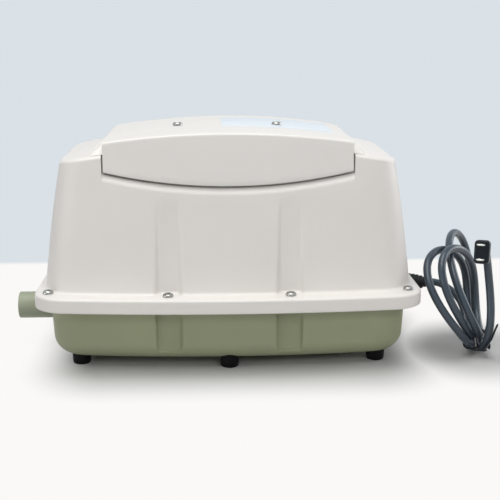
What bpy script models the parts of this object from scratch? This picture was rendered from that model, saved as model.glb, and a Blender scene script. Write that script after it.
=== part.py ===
"""Linear diaphragm air pump for ponds and aquaria, with its drive, valves, filter and tied mains cord.

Metres, +Z up, front towards -Y. The origin is on the floor, at the middle of the pump without its cord.
"""
import math

import bmesh
import bpy
import numpy as np
from mathutils import Matrix, Vector

# Fits
FIT = 0.0003
AIR_GAP = 0.0015
HOLE_PLAY = 0.0004

# Feet
FOOT_HEIGHT = 0.0072
FOOT_RADIUS = 0.0086
FOOT_STEM_RADIUS = 0.003
FOOT_STEM_LENGTH = 0.005
FOOT_END_INSET = 0.0273
FOOT_SIDE_INSET = 0.032
MIDDLE_FOOT_INSET = 0.017
BOSS_RADIUS = 0.011
BOSS_DROP = 0.0012

# Base tank, set in from the flange's edge
BASE_END_INSET = 0.0112
BASE_SIDE_INSET = 0.017
BASE_HEIGHT = 0.0579
BASE_CORNER = 0.030
BASE_DRAFT = 0.0025
BASE_EDGE_RADIUS = 0.018
BASE_WALL = 0.0044
BASE_FLOOR = 0.004
BASE_FLANGE_THICK = 0.0059
SIDE_BOW = 0.011
BASE_FLUTE_DEPTH = 0.0026
TANK_LEDGE = 0.0028
TANK_LID_THICK = 0.0037
TANK_LID_SINK = 0.0064
CABLE_BAY = 0.0468
BULKHEAD_THICK = 0.004

# Upper cover, set in from the flange's edge at its foot and leaning in from there
FLANGE_LENGTH = 0.356
FLANGE_DEPTH = 0.210
FLANGE_CORNER = 0.028
FLANGE_PLATE = 0.0042
SKIRT_HEIGHT = 0.0132
SKIRT_WALL = 0.003
EDGE_ROUND = 0.002
GASKET_THICK = 0.002
COVER_END_INSET = 0.0075
COVER_SIDE_INSET = 0.0175
COVER_FOOT_CORNER = 0.030
COVER_END_LEAN = 0.0179
COVER_SIDE_LEAN = 0.0063
COVER_TOP_CORNER = 0.022
COVER_RISE = 0.1335
COVER_SWELL = 0.0013
TOP_ARCH_RADIUS = 0.794
COVER_WALL = 0.0035
DECK_THICK = 0.004
FLUTE_WIDTH = 0.0255
FLUTE_DEPTH = 0.0042
FLUTE_SLOPE = 0.95

# Filter cover
LID_RISE = 0.0119
LID_ARCH_RADIUS = 0.735
LID_WALL = 0.003
LID_SHOULDER = 0.0015
LID_END_SLOPE = 0.009
LID_CORNER = 0.012
APRON_LENGTH = 0.223
APRON_DROP = 0.0468
APRON_ARC_RADIUS = 0.530
APRON_GAP = 0.0015
RECESS_DEPTH = 0.0075
RECESS_BEVEL = 0.0052
RECESS_BEVEL_DEPTH = 0.0036
RECESS_OVERCUT = 0.004
LID_SCREW_X = 0.0473
LID_BOSS_RADIUS = 0.006
LID_LIFT_CLEAR = 0.001
FILTER_LENGTH = 0.190
FILTER_DEPTH = 0.112
INTAKE_SLOTS = 5
INTAKE_SLOT_WIDTH = 0.008
INTAKE_SLOT_LENGTH = 0.070
INTAKE_SLOT_PITCH = 0.014

# Screws
SCREW_HEAD_RADIUS = 0.00475
SCREW_HEAD_HEIGHT = 0.003
SCREW_RADIUS = 0.002
SCREW_EDGE = 0.0135
SCREW_X = 0.0554
CORNER_SCREW_INSET_X = 0.013
CORNER_SCREW_INSET_Y = 0.0295

# Outlet pipe
OUTLET_RADIUS = 0.013
OUTLET_BORE = 0.010
OUTLET_REACH = 0.206
OUTLET_DROP = 0.0262
OUTLET_INSIDE = 0.010

# Drive
MOUNT_HEIGHT = 0.0142
MOUNT_RADIUS = 0.009
MOUNT_X = 0.052
MOUNT_Y = 0.038
FRAME_PLATE = 0.004
FRAME_HALF_Y = 0.046
FRAME_RISE = 0.044
END_PLATE_X = 0.062
END_PLATE_THICK = 0.004
END_HOLE_RADIUS = 0.031
CORE_HALF_X = 0.034
CORE_HALF_Z = 0.020
CORE_LEG = 0.012
CORE_CENTRE_LEG = 0.016
CORE_FACE_Y = 0.0125
CORE_BACK_Y = 0.044
CORE_YOKE = 0.008
COIL_HALF_Z = 0.027
MAGNET_START = 0.006
MAGNET_LENGTH = 0.022
MAGNET_HALF_Z = 0.016
ROD_RADIUS = 0.004
ROD_DISC_RADIUS = 0.020
ROD_DISC_THICK = 0.0034

# Pump heads
DIAPHRAGM_RADIUS = 0.040
DIAPHRAGM_THICK = 0.0025
DIAPHRAGM_ROLL = 0.004
PLATE_RADIUS = 0.020
PLATE_THICK = 0.003
NUT_FLATS = 0.013
NUT_HEIGHT = 0.006
HEAD_RADIUS = 0.042
HEAD_CLEARANCE = 0.0038
CHAMBER_RADIUS = 0.033
CHAMBER_DEPTH = 0.0149
VALVE_WALL = 0.003
POCKET_DEPTH = 0.013
POCKET_HALF_Y = 0.022
POCKET_NEAR = 0.004
POCKET_FAR = 0.031
HEAD_COVER_THICK = 0.003
PORT_RADIUS = 0.005
PORT_OFFSET = 0.0195
FLAP_LENGTH = 0.0145
FLAP_HALF_WIDTH = 0.007
FLAP_THICK = 0.001
SPIGOT_RADIUS = 0.008
SPIGOT_BORE = 0.0055
SPIGOT_HEIGHT = 0.006
SLEEVE_WALL = 0.0027

# Terminal block in the cable bay
TERMINAL_LENGTH = 0.040
TERMINAL_WIDTH = 0.018
TERMINAL_HEIGHT = 0.016
TERMINAL_Y = 0.020
TERMINAL_GROOVES = 3
TERMINAL_GROOVE_WIDTH = 0.006
TERMINAL_GROOVE_DEPTH = 0.005

# Mains cord, in the pump's own frame
CORD_DIAMETER = 0.0075
BOOT_Y = 0.046
BOOT_Z = 0.0465
BOOT_REACH = 0.2107
BOOT_INSIDE = 0.006
BOOT_COLLAR_RADIUS = 0.0090
BOOT_NECK_RADIUS = 0.0070
BOOT_ROOT_RADIUS = 0.0092
BOOT_TIP_RADIUS = 0.0045
BOOT_TAPER_START = 0.55
BOOT_RIBS = 11
BOOT_RIB_GROOVE = 0.0016
TIE_PLACE = (0.2425, -0.0356)
TIE_BEARING = math.radians(11.8)
TIE_LIFT = 0.003
SLOT_PITCH = CORD_DIAMETER + 0.0011
TIE_WIRE = 0.0016
TIE_CLEARANCE = 0.0009
TIE_TAIL = 0.022
TIE_POINTS = 16
# Each loop: bearing of its top in degrees, half width, lean along X and Y, height
HANK_LOOPS = [(45.8, 0.0438, -0.0360, 0.0088, 0.0861), (43.1, 0.0360, -0.0295, -0.0043, 0.0875),
              (29.3, 0.0450, -0.0217, 0.0404, 0.0976)]
LOOP_POINTS = 24
CORD_STUB = 0.4
LEAD_POINTS = [(0.2432, 0.0341, 0.0293), (0.2446, 0.0068, 0.0068)]
LEAD_COUNT = 14
TAIL_POINTS = [(0.2436, -0.0634, 0.0145), (0.2446, -0.0721, 0.0352), (0.2420, -0.0661, 0.0847)]
TAIL_COUNT = 16

# Plug
PLUG_PLACE = (0.2294, -0.0932, 0.1131)
PLUG_AIM = (-0.357, -0.911, 0.205)
PLUG_WIDTH = 0.015
PLUG_HEIGHT = 0.022
PLUG_LENGTH = 0.0315
PLUG_COLLAR = 0.012
PLUG_COLLAR_RADIUS = 0.0050
PLUG_SHOULDER = 0.004
PLUG_EDGE = 0.0015
BLADE_SPACING = 0.0127
BLADE_WIDTH = 0.00635
BLADE_THICK = 0.0015
BLADE_REACH = 0.0170
BLADE_SOCKET = 0.004

# Where things stand
HOUSING_X = (OUTLET_REACH - FLANGE_LENGTH / 2) / 2
BASE_LENGTH = FLANGE_LENGTH - 2 * BASE_END_INSET
BASE_DEPTH = FLANGE_DEPTH - 2 * BASE_SIDE_INSET
COVER_FOOT_LENGTH = FLANGE_LENGTH - 2 * COVER_END_INSET
COVER_FOOT_DEPTH = FLANGE_DEPTH - 2 * COVER_SIDE_INSET
COVER_TOP_LENGTH = COVER_FOOT_LENGTH - 2 * COVER_END_LEAN
COVER_TOP_DEPTH = COVER_FOOT_DEPTH - 2 * COVER_SIDE_LEAN
FOOT_X = BASE_LENGTH / 2 - FOOT_END_INSET
FOOT_Y = BASE_DEPTH / 2 - FOOT_SIDE_INSET
MIDDLE_FOOT_Y = BASE_DEPTH / 2 - MIDDLE_FOOT_INSET
BULKHEAD_X = BASE_LENGTH / 2 - CABLE_BAY
LID_LENGTH = APRON_LENGTH + 2 * LID_SHOULDER
LID_SKIRT_LENGTH = LID_LENGTH + 2 * LID_END_SLOPE
BASE_LOW = FOOT_HEIGHT + FIT + BOSS_DROP
BASE_TOP = BASE_LOW + BASE_HEIGHT
PLATE_LOW = BASE_TOP + GASKET_THICK + 2 * FIT
FLANGE_TOP = PLATE_LOW + FLANGE_PLATE
COVER_CREST = FLANGE_TOP + COVER_RISE
LID_CREST = COVER_CREST + LID_RISE
OUTLET_Z = BASE_TOP - OUTLET_DROP
TANK_LID_TOP = BASE_TOP - TANK_LID_SINK
DRIVE_Z = TANK_LID_TOP + SPIGOT_HEIGHT + HEAD_CLEARANCE + HEAD_RADIUS
FRAME_LOW = TANK_LID_TOP + MOUNT_HEIGHT + 2 * FIT
FRAME_TOP = DRIVE_Z + FRAME_RISE
HEAD_START = END_PLATE_X + END_PLATE_THICK + DIAPHRAGM_THICK + 2 * FIT
WALL_START = HEAD_START + CHAMBER_DEPTH
POCKET_START = WALL_START + VALVE_WALL
HEAD_END = POCKET_START + POCKET_DEPTH
SPIGOT_X = HEAD_END - SPIGOT_RADIUS - FIT

CORNER_STEPS = 5
SIDE_STEPS = 8
ROUND_STEPS = 20
SMALL_STEPS = 12

for old in list(bpy.data.objects):
    bpy.data.objects.remove(old, do_unlink=True)

PARTS = bpy.data.collections.new("air_pump")
CUTTERS = bpy.data.collections.new("air_pump_cutters")
for group in (PARTS, CUTTERS):
    bpy.context.scene.collection.children.link(group)

PUMP = bpy.data.objects.new("pump_axis", None)
PUMP.location = (HOUSING_X, 0, 0)
PARTS.objects.link(PUMP)


def finish(name, colour, roughness, metallic=0.0):
    """A plain Principled material."""
    made = bpy.data.materials.new(name)
    made.use_nodes = True
    shader = made.node_tree.nodes["Principled BSDF"]
    shader.inputs["Base Color"].default_value = (*colour, 1)
    shader.inputs["Roughness"].default_value = roughness
    shader.inputs["Metallic"].default_value = metallic
    return made


WHITE = finish("white_abs", (0.78, 0.76, 0.73), 0.45)
OLIVE = finish("olive_paint", (0.36, 0.38, 0.26), 0.5)
RUBBER = finish("black_rubber", (0.02, 0.02, 0.022), 0.7)
STEEL = finish("zinc_steel", (0.62, 0.62, 0.6), 0.35, 1.0)
ALUMINIUM = finish("cast_aluminium", (0.66, 0.67, 0.68), 0.45, 1.0)
LAMINATION = finish("core_steel", (0.25, 0.25, 0.27), 0.5, 1.0)
COPPER = finish("coil_copper", (0.62, 0.27, 0.12), 0.4, 0.8)
MAGNET = finish("ferrite", (0.06, 0.06, 0.065), 0.55)
FOAM = finish("filter_foam", (0.10, 0.11, 0.12), 0.95)
NYLON = finish("black_nylon", (0.03, 0.03, 0.035), 0.5)
GREY_CORD = finish("grey_cord", (0.21, 0.23, 0.25), 0.5)
BRASS = finish("nickel_brass", (0.75, 0.72, 0.62), 0.25, 1.0)


def add(name, mesh, material, place=(0, 0, 0), turn=(0, 0, 0)):
    """Put a mesh in the pump as a named piece."""
    piece = bpy.data.objects.new(name, mesh)
    piece.location = place
    piece.rotation_euler = turn
    piece.parent = PUMP
    if mesh is not None:
        mesh.materials.append(material)
    PARTS.objects.link(piece)
    return piece


def cutter(name, mesh):
    """A shape that only cuts or joins."""
    shape = bpy.data.objects.new(name, mesh)
    shape.parent = PUMP
    shape.hide_render = True
    shape.display_type = "WIRE"
    CUTTERS.objects.link(shape)
    return shape


def combine(piece, shape, operation="DIFFERENCE", solver="EXACT"):
    """Boolean one shape with a piece."""
    step = piece.modifiers.new(shape.name, "BOOLEAN")
    step.operation = operation
    step.solver = solver
    step.object = shape


def mesh_from(bm, name):
    """Close a bmesh into a mesh with its faces pointing out."""
    bmesh.ops.recalc_face_normals(bm, faces=bm.faces)
    mesh = bpy.data.meshes.new(name)
    bm.to_mesh(mesh)
    bm.free()
    return mesh


def boxes(name, spans):
    """One mesh of boxes, each given by its low and high corners."""
    bm = bmesh.new()
    for low, high in spans:
        low, high = Vector(low), Vector(high)
        size = high - low
        frame = Matrix.Translation((low + high) / 2) @ Matrix.Diagonal((*size, 1))
        bmesh.ops.create_cube(bm, size=1, matrix=frame)
    return mesh_from(bm, name)


def rods(name, spans, steps=SMALL_STEPS):
    """One mesh of cylinders, each given by its radius and two ends."""
    bm = bmesh.new()
    for radius, start, end in spans:
        start, end = Vector(start), Vector(end)
        along = end - start
        turn = along.to_track_quat("Z", "Y").to_matrix().to_4x4()
        frame = Matrix.Translation((start + end) / 2) @ turn
        bmesh.ops.create_cone(bm, cap_ends=True, segments=steps, radius1=radius, radius2=radius,
                              depth=along.length, matrix=frame)
    return mesh_from(bm, name)


def outline(half_x, half_y, corner, bow=SIDE_BOW):
    """Front half of a plan outline from the left end to the right: rounded corners and a bowed side."""
    points = []
    for i in range(CORNER_STEPS + 1):
        angle = math.pi + i / CORNER_STEPS * math.pi / 2
        x = -half_x + corner + corner * math.cos(angle)
        points.append((x, -half_y + corner + corner * math.sin(angle)))
    for i in range(1, SIDE_STEPS):
        points.append((-half_x + corner + (2 * half_x - 2 * corner) * i / SIDE_STEPS, -half_y))
    points += [(-x, y) for x, y in reversed(points[:CORNER_STEPS + 1])]
    return [(x, y * (1 - bow / half_y * (x / half_x) ** 2)) for x, y in points]


def ring(half_x, half_y, corner, height):
    """A whole plan outline at a height, which may depend on x."""
    front = outline(half_x, half_y, corner)
    rise = height if callable(height) else lambda x: height
    there = [Vector((x, y, rise(x))) for x, y in front]
    return there + [Vector((p.x, -p.y, p.z)) for p in reversed(there)]


def loft(name, rings):
    """A closed solid through plan outlines, capped by strips from front to back."""
    bm = bmesh.new()
    rows = [[bm.verts.new(p) for p in points] for points in rings]
    count = len(rows[0])
    for low, high in zip(rows, rows[1:]):
        for i in range(count):
            j = (i + 1) % count
            bm.faces.new((low[i], low[j], high[j], high[i]))
    for row in (rows[0], rows[-1]):
        for i in range(count // 2 - 1):
            bm.faces.new((row[i], row[i + 1], row[count - 2 - i], row[count - 1 - i]))
    return mesh_from(bm, name)


def loft_along(name, groups):
    """Closed solids through cross-sections, each group of sections one solid."""
    bm = bmesh.new()
    for sections in groups:
        rows = [[bm.verts.new(p) for p in points] for points in sections]
        for low, high in zip(rows, rows[1:]):
            for i in range(len(low)):
                j = (i + 1) % len(low)
                bm.faces.new((low[i], low[j], high[j], high[i]))
        bm.faces.new(rows[0])
        bm.faces.new(rows[-1])
    bmesh.ops.remove_doubles(bm, verts=bm.verts, dist=1e-6)
    return mesh_from(bm, name)


def turned(name, profile, material, place, axis="Z", steps=ROUND_STEPS, closed=False):
    """A turned piece from (radius, height) pairs that run down its outer side."""
    bm = bmesh.new()
    points = [bm.verts.new((radius, 0, height)) for radius, height in profile]
    pairs = list(zip(points, points[1:]))
    if closed:
        pairs.append((points[-1], points[0]))
    for start, end in pairs:
        bm.edges.new((start, end))
    mesh = bpy.data.meshes.new(name)
    bm.to_mesh(mesh)
    bm.free()
    turn = {"Z": (0, 0, 0), "+X": (0, math.pi / 2, 0), "-X": (0, -math.pi / 2, 0)}[axis]
    piece = add(name, mesh, material, place, turn)
    spin = piece.modifiers.new("spin", "SCREW")
    spin.steps = steps
    spin.render_steps = steps
    spin.use_merge_vertices = True
    spin.merge_threshold = 1e-6
    return piece


def arch(x, crest, radius):
    """Height of an arched top at x."""
    return crest - radius + math.sqrt(radius ** 2 - x ** 2)


def cover_arch(x):
    """Height of the cover's shoulders and deck at x."""
    return arch(x, COVER_CREST, TOP_ARCH_RADIUS)


def lid_arch(x):
    """Height of the filter cover's top at x."""
    return arch(x, LID_CREST, LID_ARCH_RADIUS)


SHOULDER_Z = cover_arch(COVER_TOP_LENGTH / 2)


def cover_half(z):
    """Half length, half depth and corner of the cover's outside at height z."""
    t = (z - FLANGE_TOP) / (SHOULDER_Z - FLANGE_TOP)
    swell = COVER_SWELL * 4 * t * (1 - t)
    half_x = COVER_FOOT_LENGTH / 2 + (COVER_TOP_LENGTH - COVER_FOOT_LENGTH) / 2 * t + swell
    half_y = COVER_FOOT_DEPTH / 2 + (COVER_TOP_DEPTH - COVER_FOOT_DEPTH) / 2 * t
    corner = COVER_FOOT_CORNER + (COVER_TOP_CORNER - COVER_FOOT_CORNER) * t
    return half_x, half_y, corner


def cover_wall_y(x, z):
    """Distance of the cover's front from the middle plane, at x and z."""
    half_x, half_y, _ = cover_half(min(z, SHOULDER_Z))
    lean = (COVER_TOP_DEPTH - COVER_FOOT_DEPTH) / 2 / (SHOULDER_Z - FLANGE_TOP)
    beyond = max(0.0, z - SHOULDER_Z) * lean
    return half_y + beyond - SIDE_BOW * (x / half_x) ** 2


def flange_edge_y(x):
    """Distance of the flange's front edge from the middle plane, at x."""
    return FLANGE_DEPTH / 2 - SIDE_BOW * (x / (FLANGE_LENGTH / 2)) ** 2


def screw_places():
    """Plan places of the flange screws: four along the front, then four along the back."""
    inner_y = flange_edge_y(SCREW_X) - SCREW_EDGE
    corner_x = FLANGE_LENGTH / 2 - CORNER_SCREW_INSET_X
    corner_y = FLANGE_DEPTH / 2 - CORNER_SCREW_INSET_Y
    front = [(-corner_x, -corner_y), (-SCREW_X, -inner_y), (SCREW_X, -inner_y), (corner_x, -corner_y)]
    return front + [(x, -y) for x, y in front]


def screw_holes(name, low, high):
    """Cutters for the flange screws between two heights."""
    radius = SCREW_RADIUS + HOLE_PLAY
    return cutter(name, rods(name, [(radius, (x, y, low), (x, y, high)) for x, y in screw_places()]))


def flute_cutters(name, wall_y, depth, low, high):
    """Upright channels at the inner flange screws, front and back, with sloped sides."""
    floor = wall_y - depth
    reach = flange_edge_y(SCREW_X)
    half_floor = FLUTE_WIDTH / 2 - depth * FLUTE_SLOPE
    half_mouth = half_floor + (reach - floor) * FLUTE_SLOPE
    groups = []
    for side in (-1, 1):
        for x in (-SCREW_X, SCREW_X):
            plan = [(x - half_floor, side * floor), (x + half_floor, side * floor),
                    (x + half_mouth, side * reach), (x - half_mouth, side * reach)]
            groups.append([[Vector((px, py, z)) for px, py in plan] for z in (low, high)])
    return cutter(name, loft_along(name, groups))


def recess_section(x, side):
    """Section at x of the pocket that the filter cover's apron sits in."""
    low = apron_low(x) - APRON_GAP
    wall = cover_wall_y(x, low)
    back = wall - RECESS_DEPTH
    out = RECESS_OVERCUT
    slope = RECESS_BEVEL / RECESS_BEVEL_DEPTH
    points = [(wall + out, low - RECESS_BEVEL - out * slope), (wall - RECESS_BEVEL_DEPTH, low), (back, low),
              (back, LID_CREST), (wall + out, LID_CREST)]
    return [Vector((x, side * y, z)) for y, z in points]


def apron_low(x):
    """Height of the apron's lower edge at x."""
    return LID_CREST - APRON_DROP + APRON_ARC_RADIUS - math.sqrt(APRON_ARC_RADIUS ** 2 - x ** 2)


def stations(half, count):
    """Evenly spaced places from -half to half."""
    return [-half + 2 * half * i / count for i in range(count + 1)]


def make_cover():
    """The upper cover: flange skirt, drafted walls, flutes, apron pockets, deck and intake slots."""
    half_x, half_y = FLANGE_LENGTH / 2, FLANGE_DEPTH / 2
    mid = [FLANGE_TOP + (SHOULDER_Z - FLANGE_TOP) * t for t in (0.4, 0.75)]
    top_x, top_y, top_corner = cover_half(SHOULDER_Z)
    rings = [
        ring(half_x, half_y, FLANGE_CORNER, FLANGE_TOP - SKIRT_HEIGHT),
        ring(half_x, half_y, FLANGE_CORNER, FLANGE_TOP - EDGE_ROUND),
        ring(half_x - EDGE_ROUND, half_y - EDGE_ROUND, FLANGE_CORNER - EDGE_ROUND, FLANGE_TOP),
        ring(*cover_half(FLANGE_TOP), FLANGE_TOP),
        *[ring(*cover_half(z), z) for z in mid],
        ring(top_x, top_y, top_corner, lambda x: cover_arch(x) - EDGE_ROUND),
        ring(top_x - EDGE_ROUND, top_y - EDGE_ROUND, top_corner - EDGE_ROUND, cover_arch),
    ]
    cover = add("upper_cover", loft("upper_cover", rings), WHITE)

    boss_top = lid_arch(LID_SCREW_X + LID_BOSS_RADIUS) - LID_WALL - 2 * FIT
    pegs = [(LID_BOSS_RADIUS, (x, 0, cover_arch(x) - DECK_THICK / 2), (x, 0, boss_top))
            for x in (-LID_SCREW_X, LID_SCREW_X)]
    combine(cover, cutter("lid_bosses", rods("lid_bosses", pegs)), "UNION")

    step_z = apron_low(0) - APRON_GAP - RECESS_BEVEL - 2 * COVER_WALL
    inner = RECESS_DEPTH + COVER_WALL
    skirt_x, skirt_y = half_x - SKIRT_WALL, half_y - SKIRT_WALL
    skirt_corner = FLANGE_CORNER - SKIRT_WALL

    def inside(z, wall_y):
        x, y, corner = cover_half(z)
        return x - COVER_WALL, y - wall_y, corner - COVER_WALL

    cavity = cutter("cover_cavity", loft("cover_cavity", [
        ring(skirt_x, skirt_y, skirt_corner, FLANGE_TOP - SKIRT_HEIGHT - COVER_WALL),
        ring(skirt_x, skirt_y, skirt_corner, PLATE_LOW),
        ring(*inside(FLANGE_TOP, COVER_WALL), PLATE_LOW),
        ring(*inside(mid[0], COVER_WALL), mid[0]),
        ring(*inside(step_z, COVER_WALL), step_z),
        ring(*inside(step_z + COVER_WALL, inner), step_z + COVER_WALL),
        ring(*inside(SHOULDER_Z, inner), lambda x: cover_arch(x) - DECK_THICK),
    ]))
    floor_y = cover_wall_y(SCREW_X, FLANGE_TOP) - FLUTE_DEPTH
    half_back = FLUTE_WIDTH / 2 + COVER_WALL
    backing = []
    for side in (-1, 1):
        for x in (-SCREW_X, SCREW_X):
            ys = sorted((side * (floor_y - COVER_WALL), side * half_y))
            low = (x - half_back, ys[0], FLANGE_TOP - FLANGE_PLATE / 2)
            backing.append((low, (x + half_back, ys[1], step_z)))
    combine(cavity, cutter("flute_backing", boxes("flute_backing", backing)))
    combine(cover, cavity)

    wall_y = cover_wall_y(SCREW_X, FLANGE_TOP)
    combine(cover, flute_cutters("cover_flutes", wall_y, FLUTE_DEPTH, FLANGE_TOP + FIT, apron_low(0)))
    pocket_half = APRON_LENGTH / 2 + LID_LIFT_CLEAR
    pockets = [[recess_section(x, side) for x in stations(pocket_half, SIDE_STEPS)] for side in (-1, 1)]
    combine(cover, cutter("apron_pockets", loft_along("apron_pockets", pockets)))
    combine(cover, screw_holes("cover_screw_holes", PLATE_LOW - FIT, FLANGE_TOP + FIT))
    taps = [(SCREW_RADIUS + HOLE_PLAY, (x, 0, cover_arch(x) - 2 * DECK_THICK), (x, 0, LID_CREST))
            for x in (-LID_SCREW_X, LID_SCREW_X)]
    combine(cover, cutter("lid_screw_taps", rods("lid_screw_taps", taps)))
    slots = []
    for i in range(INTAKE_SLOTS):
        x = (i - (INTAKE_SLOTS - 1) / 2) * INTAKE_SLOT_PITCH
        slots.append(((x - INTAKE_SLOT_WIDTH / 2, -INTAKE_SLOT_LENGTH / 2, COVER_CREST - 3 * DECK_THICK),
                      (x + INTAKE_SLOT_WIDTH / 2, INTAKE_SLOT_LENGTH / 2, LID_CREST)))
    combine(cover, cutter("intake_slots", boxes("intake_slots", slots)))


def lid_section(x, low, top, skirt, inset=0.0):
    """Section at x of the filter cover's outside, or of its hollow when inset."""
    low_y = cover_wall_y(x, low) - skirt - inset
    top_y = cover_wall_y(x, top) - skirt - inset
    points = [(-low_y, low), (-top_y, top - EDGE_ROUND), (-top_y + EDGE_ROUND, top),
              (top_y - EDGE_ROUND, top), (top_y, top - EDGE_ROUND), (low_y, low)]
    return [Vector((x, y, z)) for y, z in points]


def make_filter_cover():
    """The saddle lid: arched top, sloped ends and a curved apron front and back, with its screws."""
    apron, top, skirt = APRON_LENGTH / 2, LID_LENGTH / 2, LID_SKIRT_LENGTH / 2

    def rest(x):
        return cover_arch(x) + FIT

    def ends(side, inset):
        """Sections of one sloped end, from the middle outwards, raised off its seat only in the hollow."""
        edge, end = side * (top - inset), side * (skirt - inset)
        end_top = rest(end) + LID_WALL - inset + EDGE_ROUND
        return [lid_section(edge, rest(edge) - inset, lid_arch(edge) - inset, 0, inset),
                lid_section(end, rest(end) - inset, end_top, LID_CORNER, inset)]

    def between(inset, low):
        """Sections of the middle, down to a height that depends on x."""
        return [lid_section(x, low(x), lid_arch(x) - inset, 0, inset)
                for x in stations(apron - inset, SIDE_STEPS)]

    def channel(x):
        """Section of the space between the aprons, under the deck's height."""
        low, high = apron_low(x) - LID_WALL, rest(x) - FIT
        inner = LID_WALL + FIT
        low_y, high_y = cover_wall_y(x, low) - inner, cover_wall_y(x, high) - inner
        return [Vector((x, y, z)) for y, z in ((-low_y, low), (-high_y, high), (high_y, high), (low_y, low))]

    seats = [[lid_section(side * apron, rest(apron), lid_arch(apron), 0)] for side in (-1, 1)]
    outside = list(reversed(seats[0] + ends(-1, 0.0))) + between(0.0, apron_low) + seats[1] + ends(1, 0.0)
    hollow = list(reversed(ends(-1, LID_WALL))) + between(LID_WALL, lambda x: rest(x) - LID_WALL)
    hollow += ends(1, LID_WALL)
    lid = add("filter_cover", loft_along("filter_cover", [outside]), WHITE)
    combine(lid, cutter("lid_hollow", loft_along("lid_hollow", [hollow])), solver="MANIFOLD")
    deck = [channel(x) for x in stations(apron + LID_LIFT_CLEAR, SIDE_STEPS)]
    combine(lid, cutter("lid_channel", loft_along("lid_channel", [deck])), solver="MANIFOLD")
    places = (-LID_SCREW_X, LID_SCREW_X)
    holes = [(SCREW_RADIUS + HOLE_PLAY, (x, 0, COVER_CREST), (x, 0, LID_CREST + LID_WALL)) for x in places]
    combine(lid, cutter("lid_holes", rods("lid_holes", holes)))
    for side, x in zip(("left", "right"), places):
        length = LID_WALL + LID_RISE
        screw("filter_cover_screw_" + side, (x, 0, lid_arch(x) + FIT), length)

    rows = [[Vector((x, y, z)) for y, z in (
        (-FILTER_DEPTH / 2, cover_arch(x) + FIT), (-FILTER_DEPTH / 2, lid_arch(x) - LID_WALL - FIT),
        (FILTER_DEPTH / 2, lid_arch(x) - LID_WALL - FIT), (FILTER_DEPTH / 2, cover_arch(x) + FIT))]
        for x in stations(FILTER_LENGTH / 2, SIDE_STEPS)]
    pad = add("filter_element", loft_along("filter_element", [rows]), FOAM)
    clear = [(LID_BOSS_RADIUS + HOLE_PLAY, (x, 0, COVER_CREST - LID_RISE), (x, 0, LID_CREST)) for x in places]
    combine(pad, cutter("filter_holes", rods("filter_holes", clear)))


def screw(name, place, length):
    """A pan-head screw with its head's seat at place."""
    head, radius, top = SCREW_HEAD_RADIUS, SCREW_RADIUS, SCREW_HEAD_HEIGHT
    profile = [(0, top), (head * 0.6, top * 0.9), (head, top * 0.35), (head, 0), (radius, 0),
               (radius, -length), (0, -length)]
    return turned(name, profile, STEEL, place, steps=SMALL_STEPS)


def base_half(z):
    """Half length, half depth and corner of the base's outside at height z, above its rounded edge."""
    t = (BASE_TOP - z) / BASE_HEIGHT
    return BASE_LENGTH / 2 - BASE_DRAFT * t, BASE_DEPTH / 2 - BASE_DRAFT * t, BASE_CORNER


def pan_rings(wall, floor, low):
    """Plan outlines of the pan's rounded underside, drawn in by a wall and raised to a floor."""
    radius = BASE_EDGE_RADIUS - wall
    rings = []
    for i in range(4):
        angle = i * math.pi / 6
        z = low + floor + radius * (1 - math.cos(angle))
        half_x, half_y, corner = base_half(z)
        back = wall + radius * (1 - math.sin(angle))
        rings.append(ring(half_x - back, half_y - back, corner - back, z))
    return rings


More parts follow.
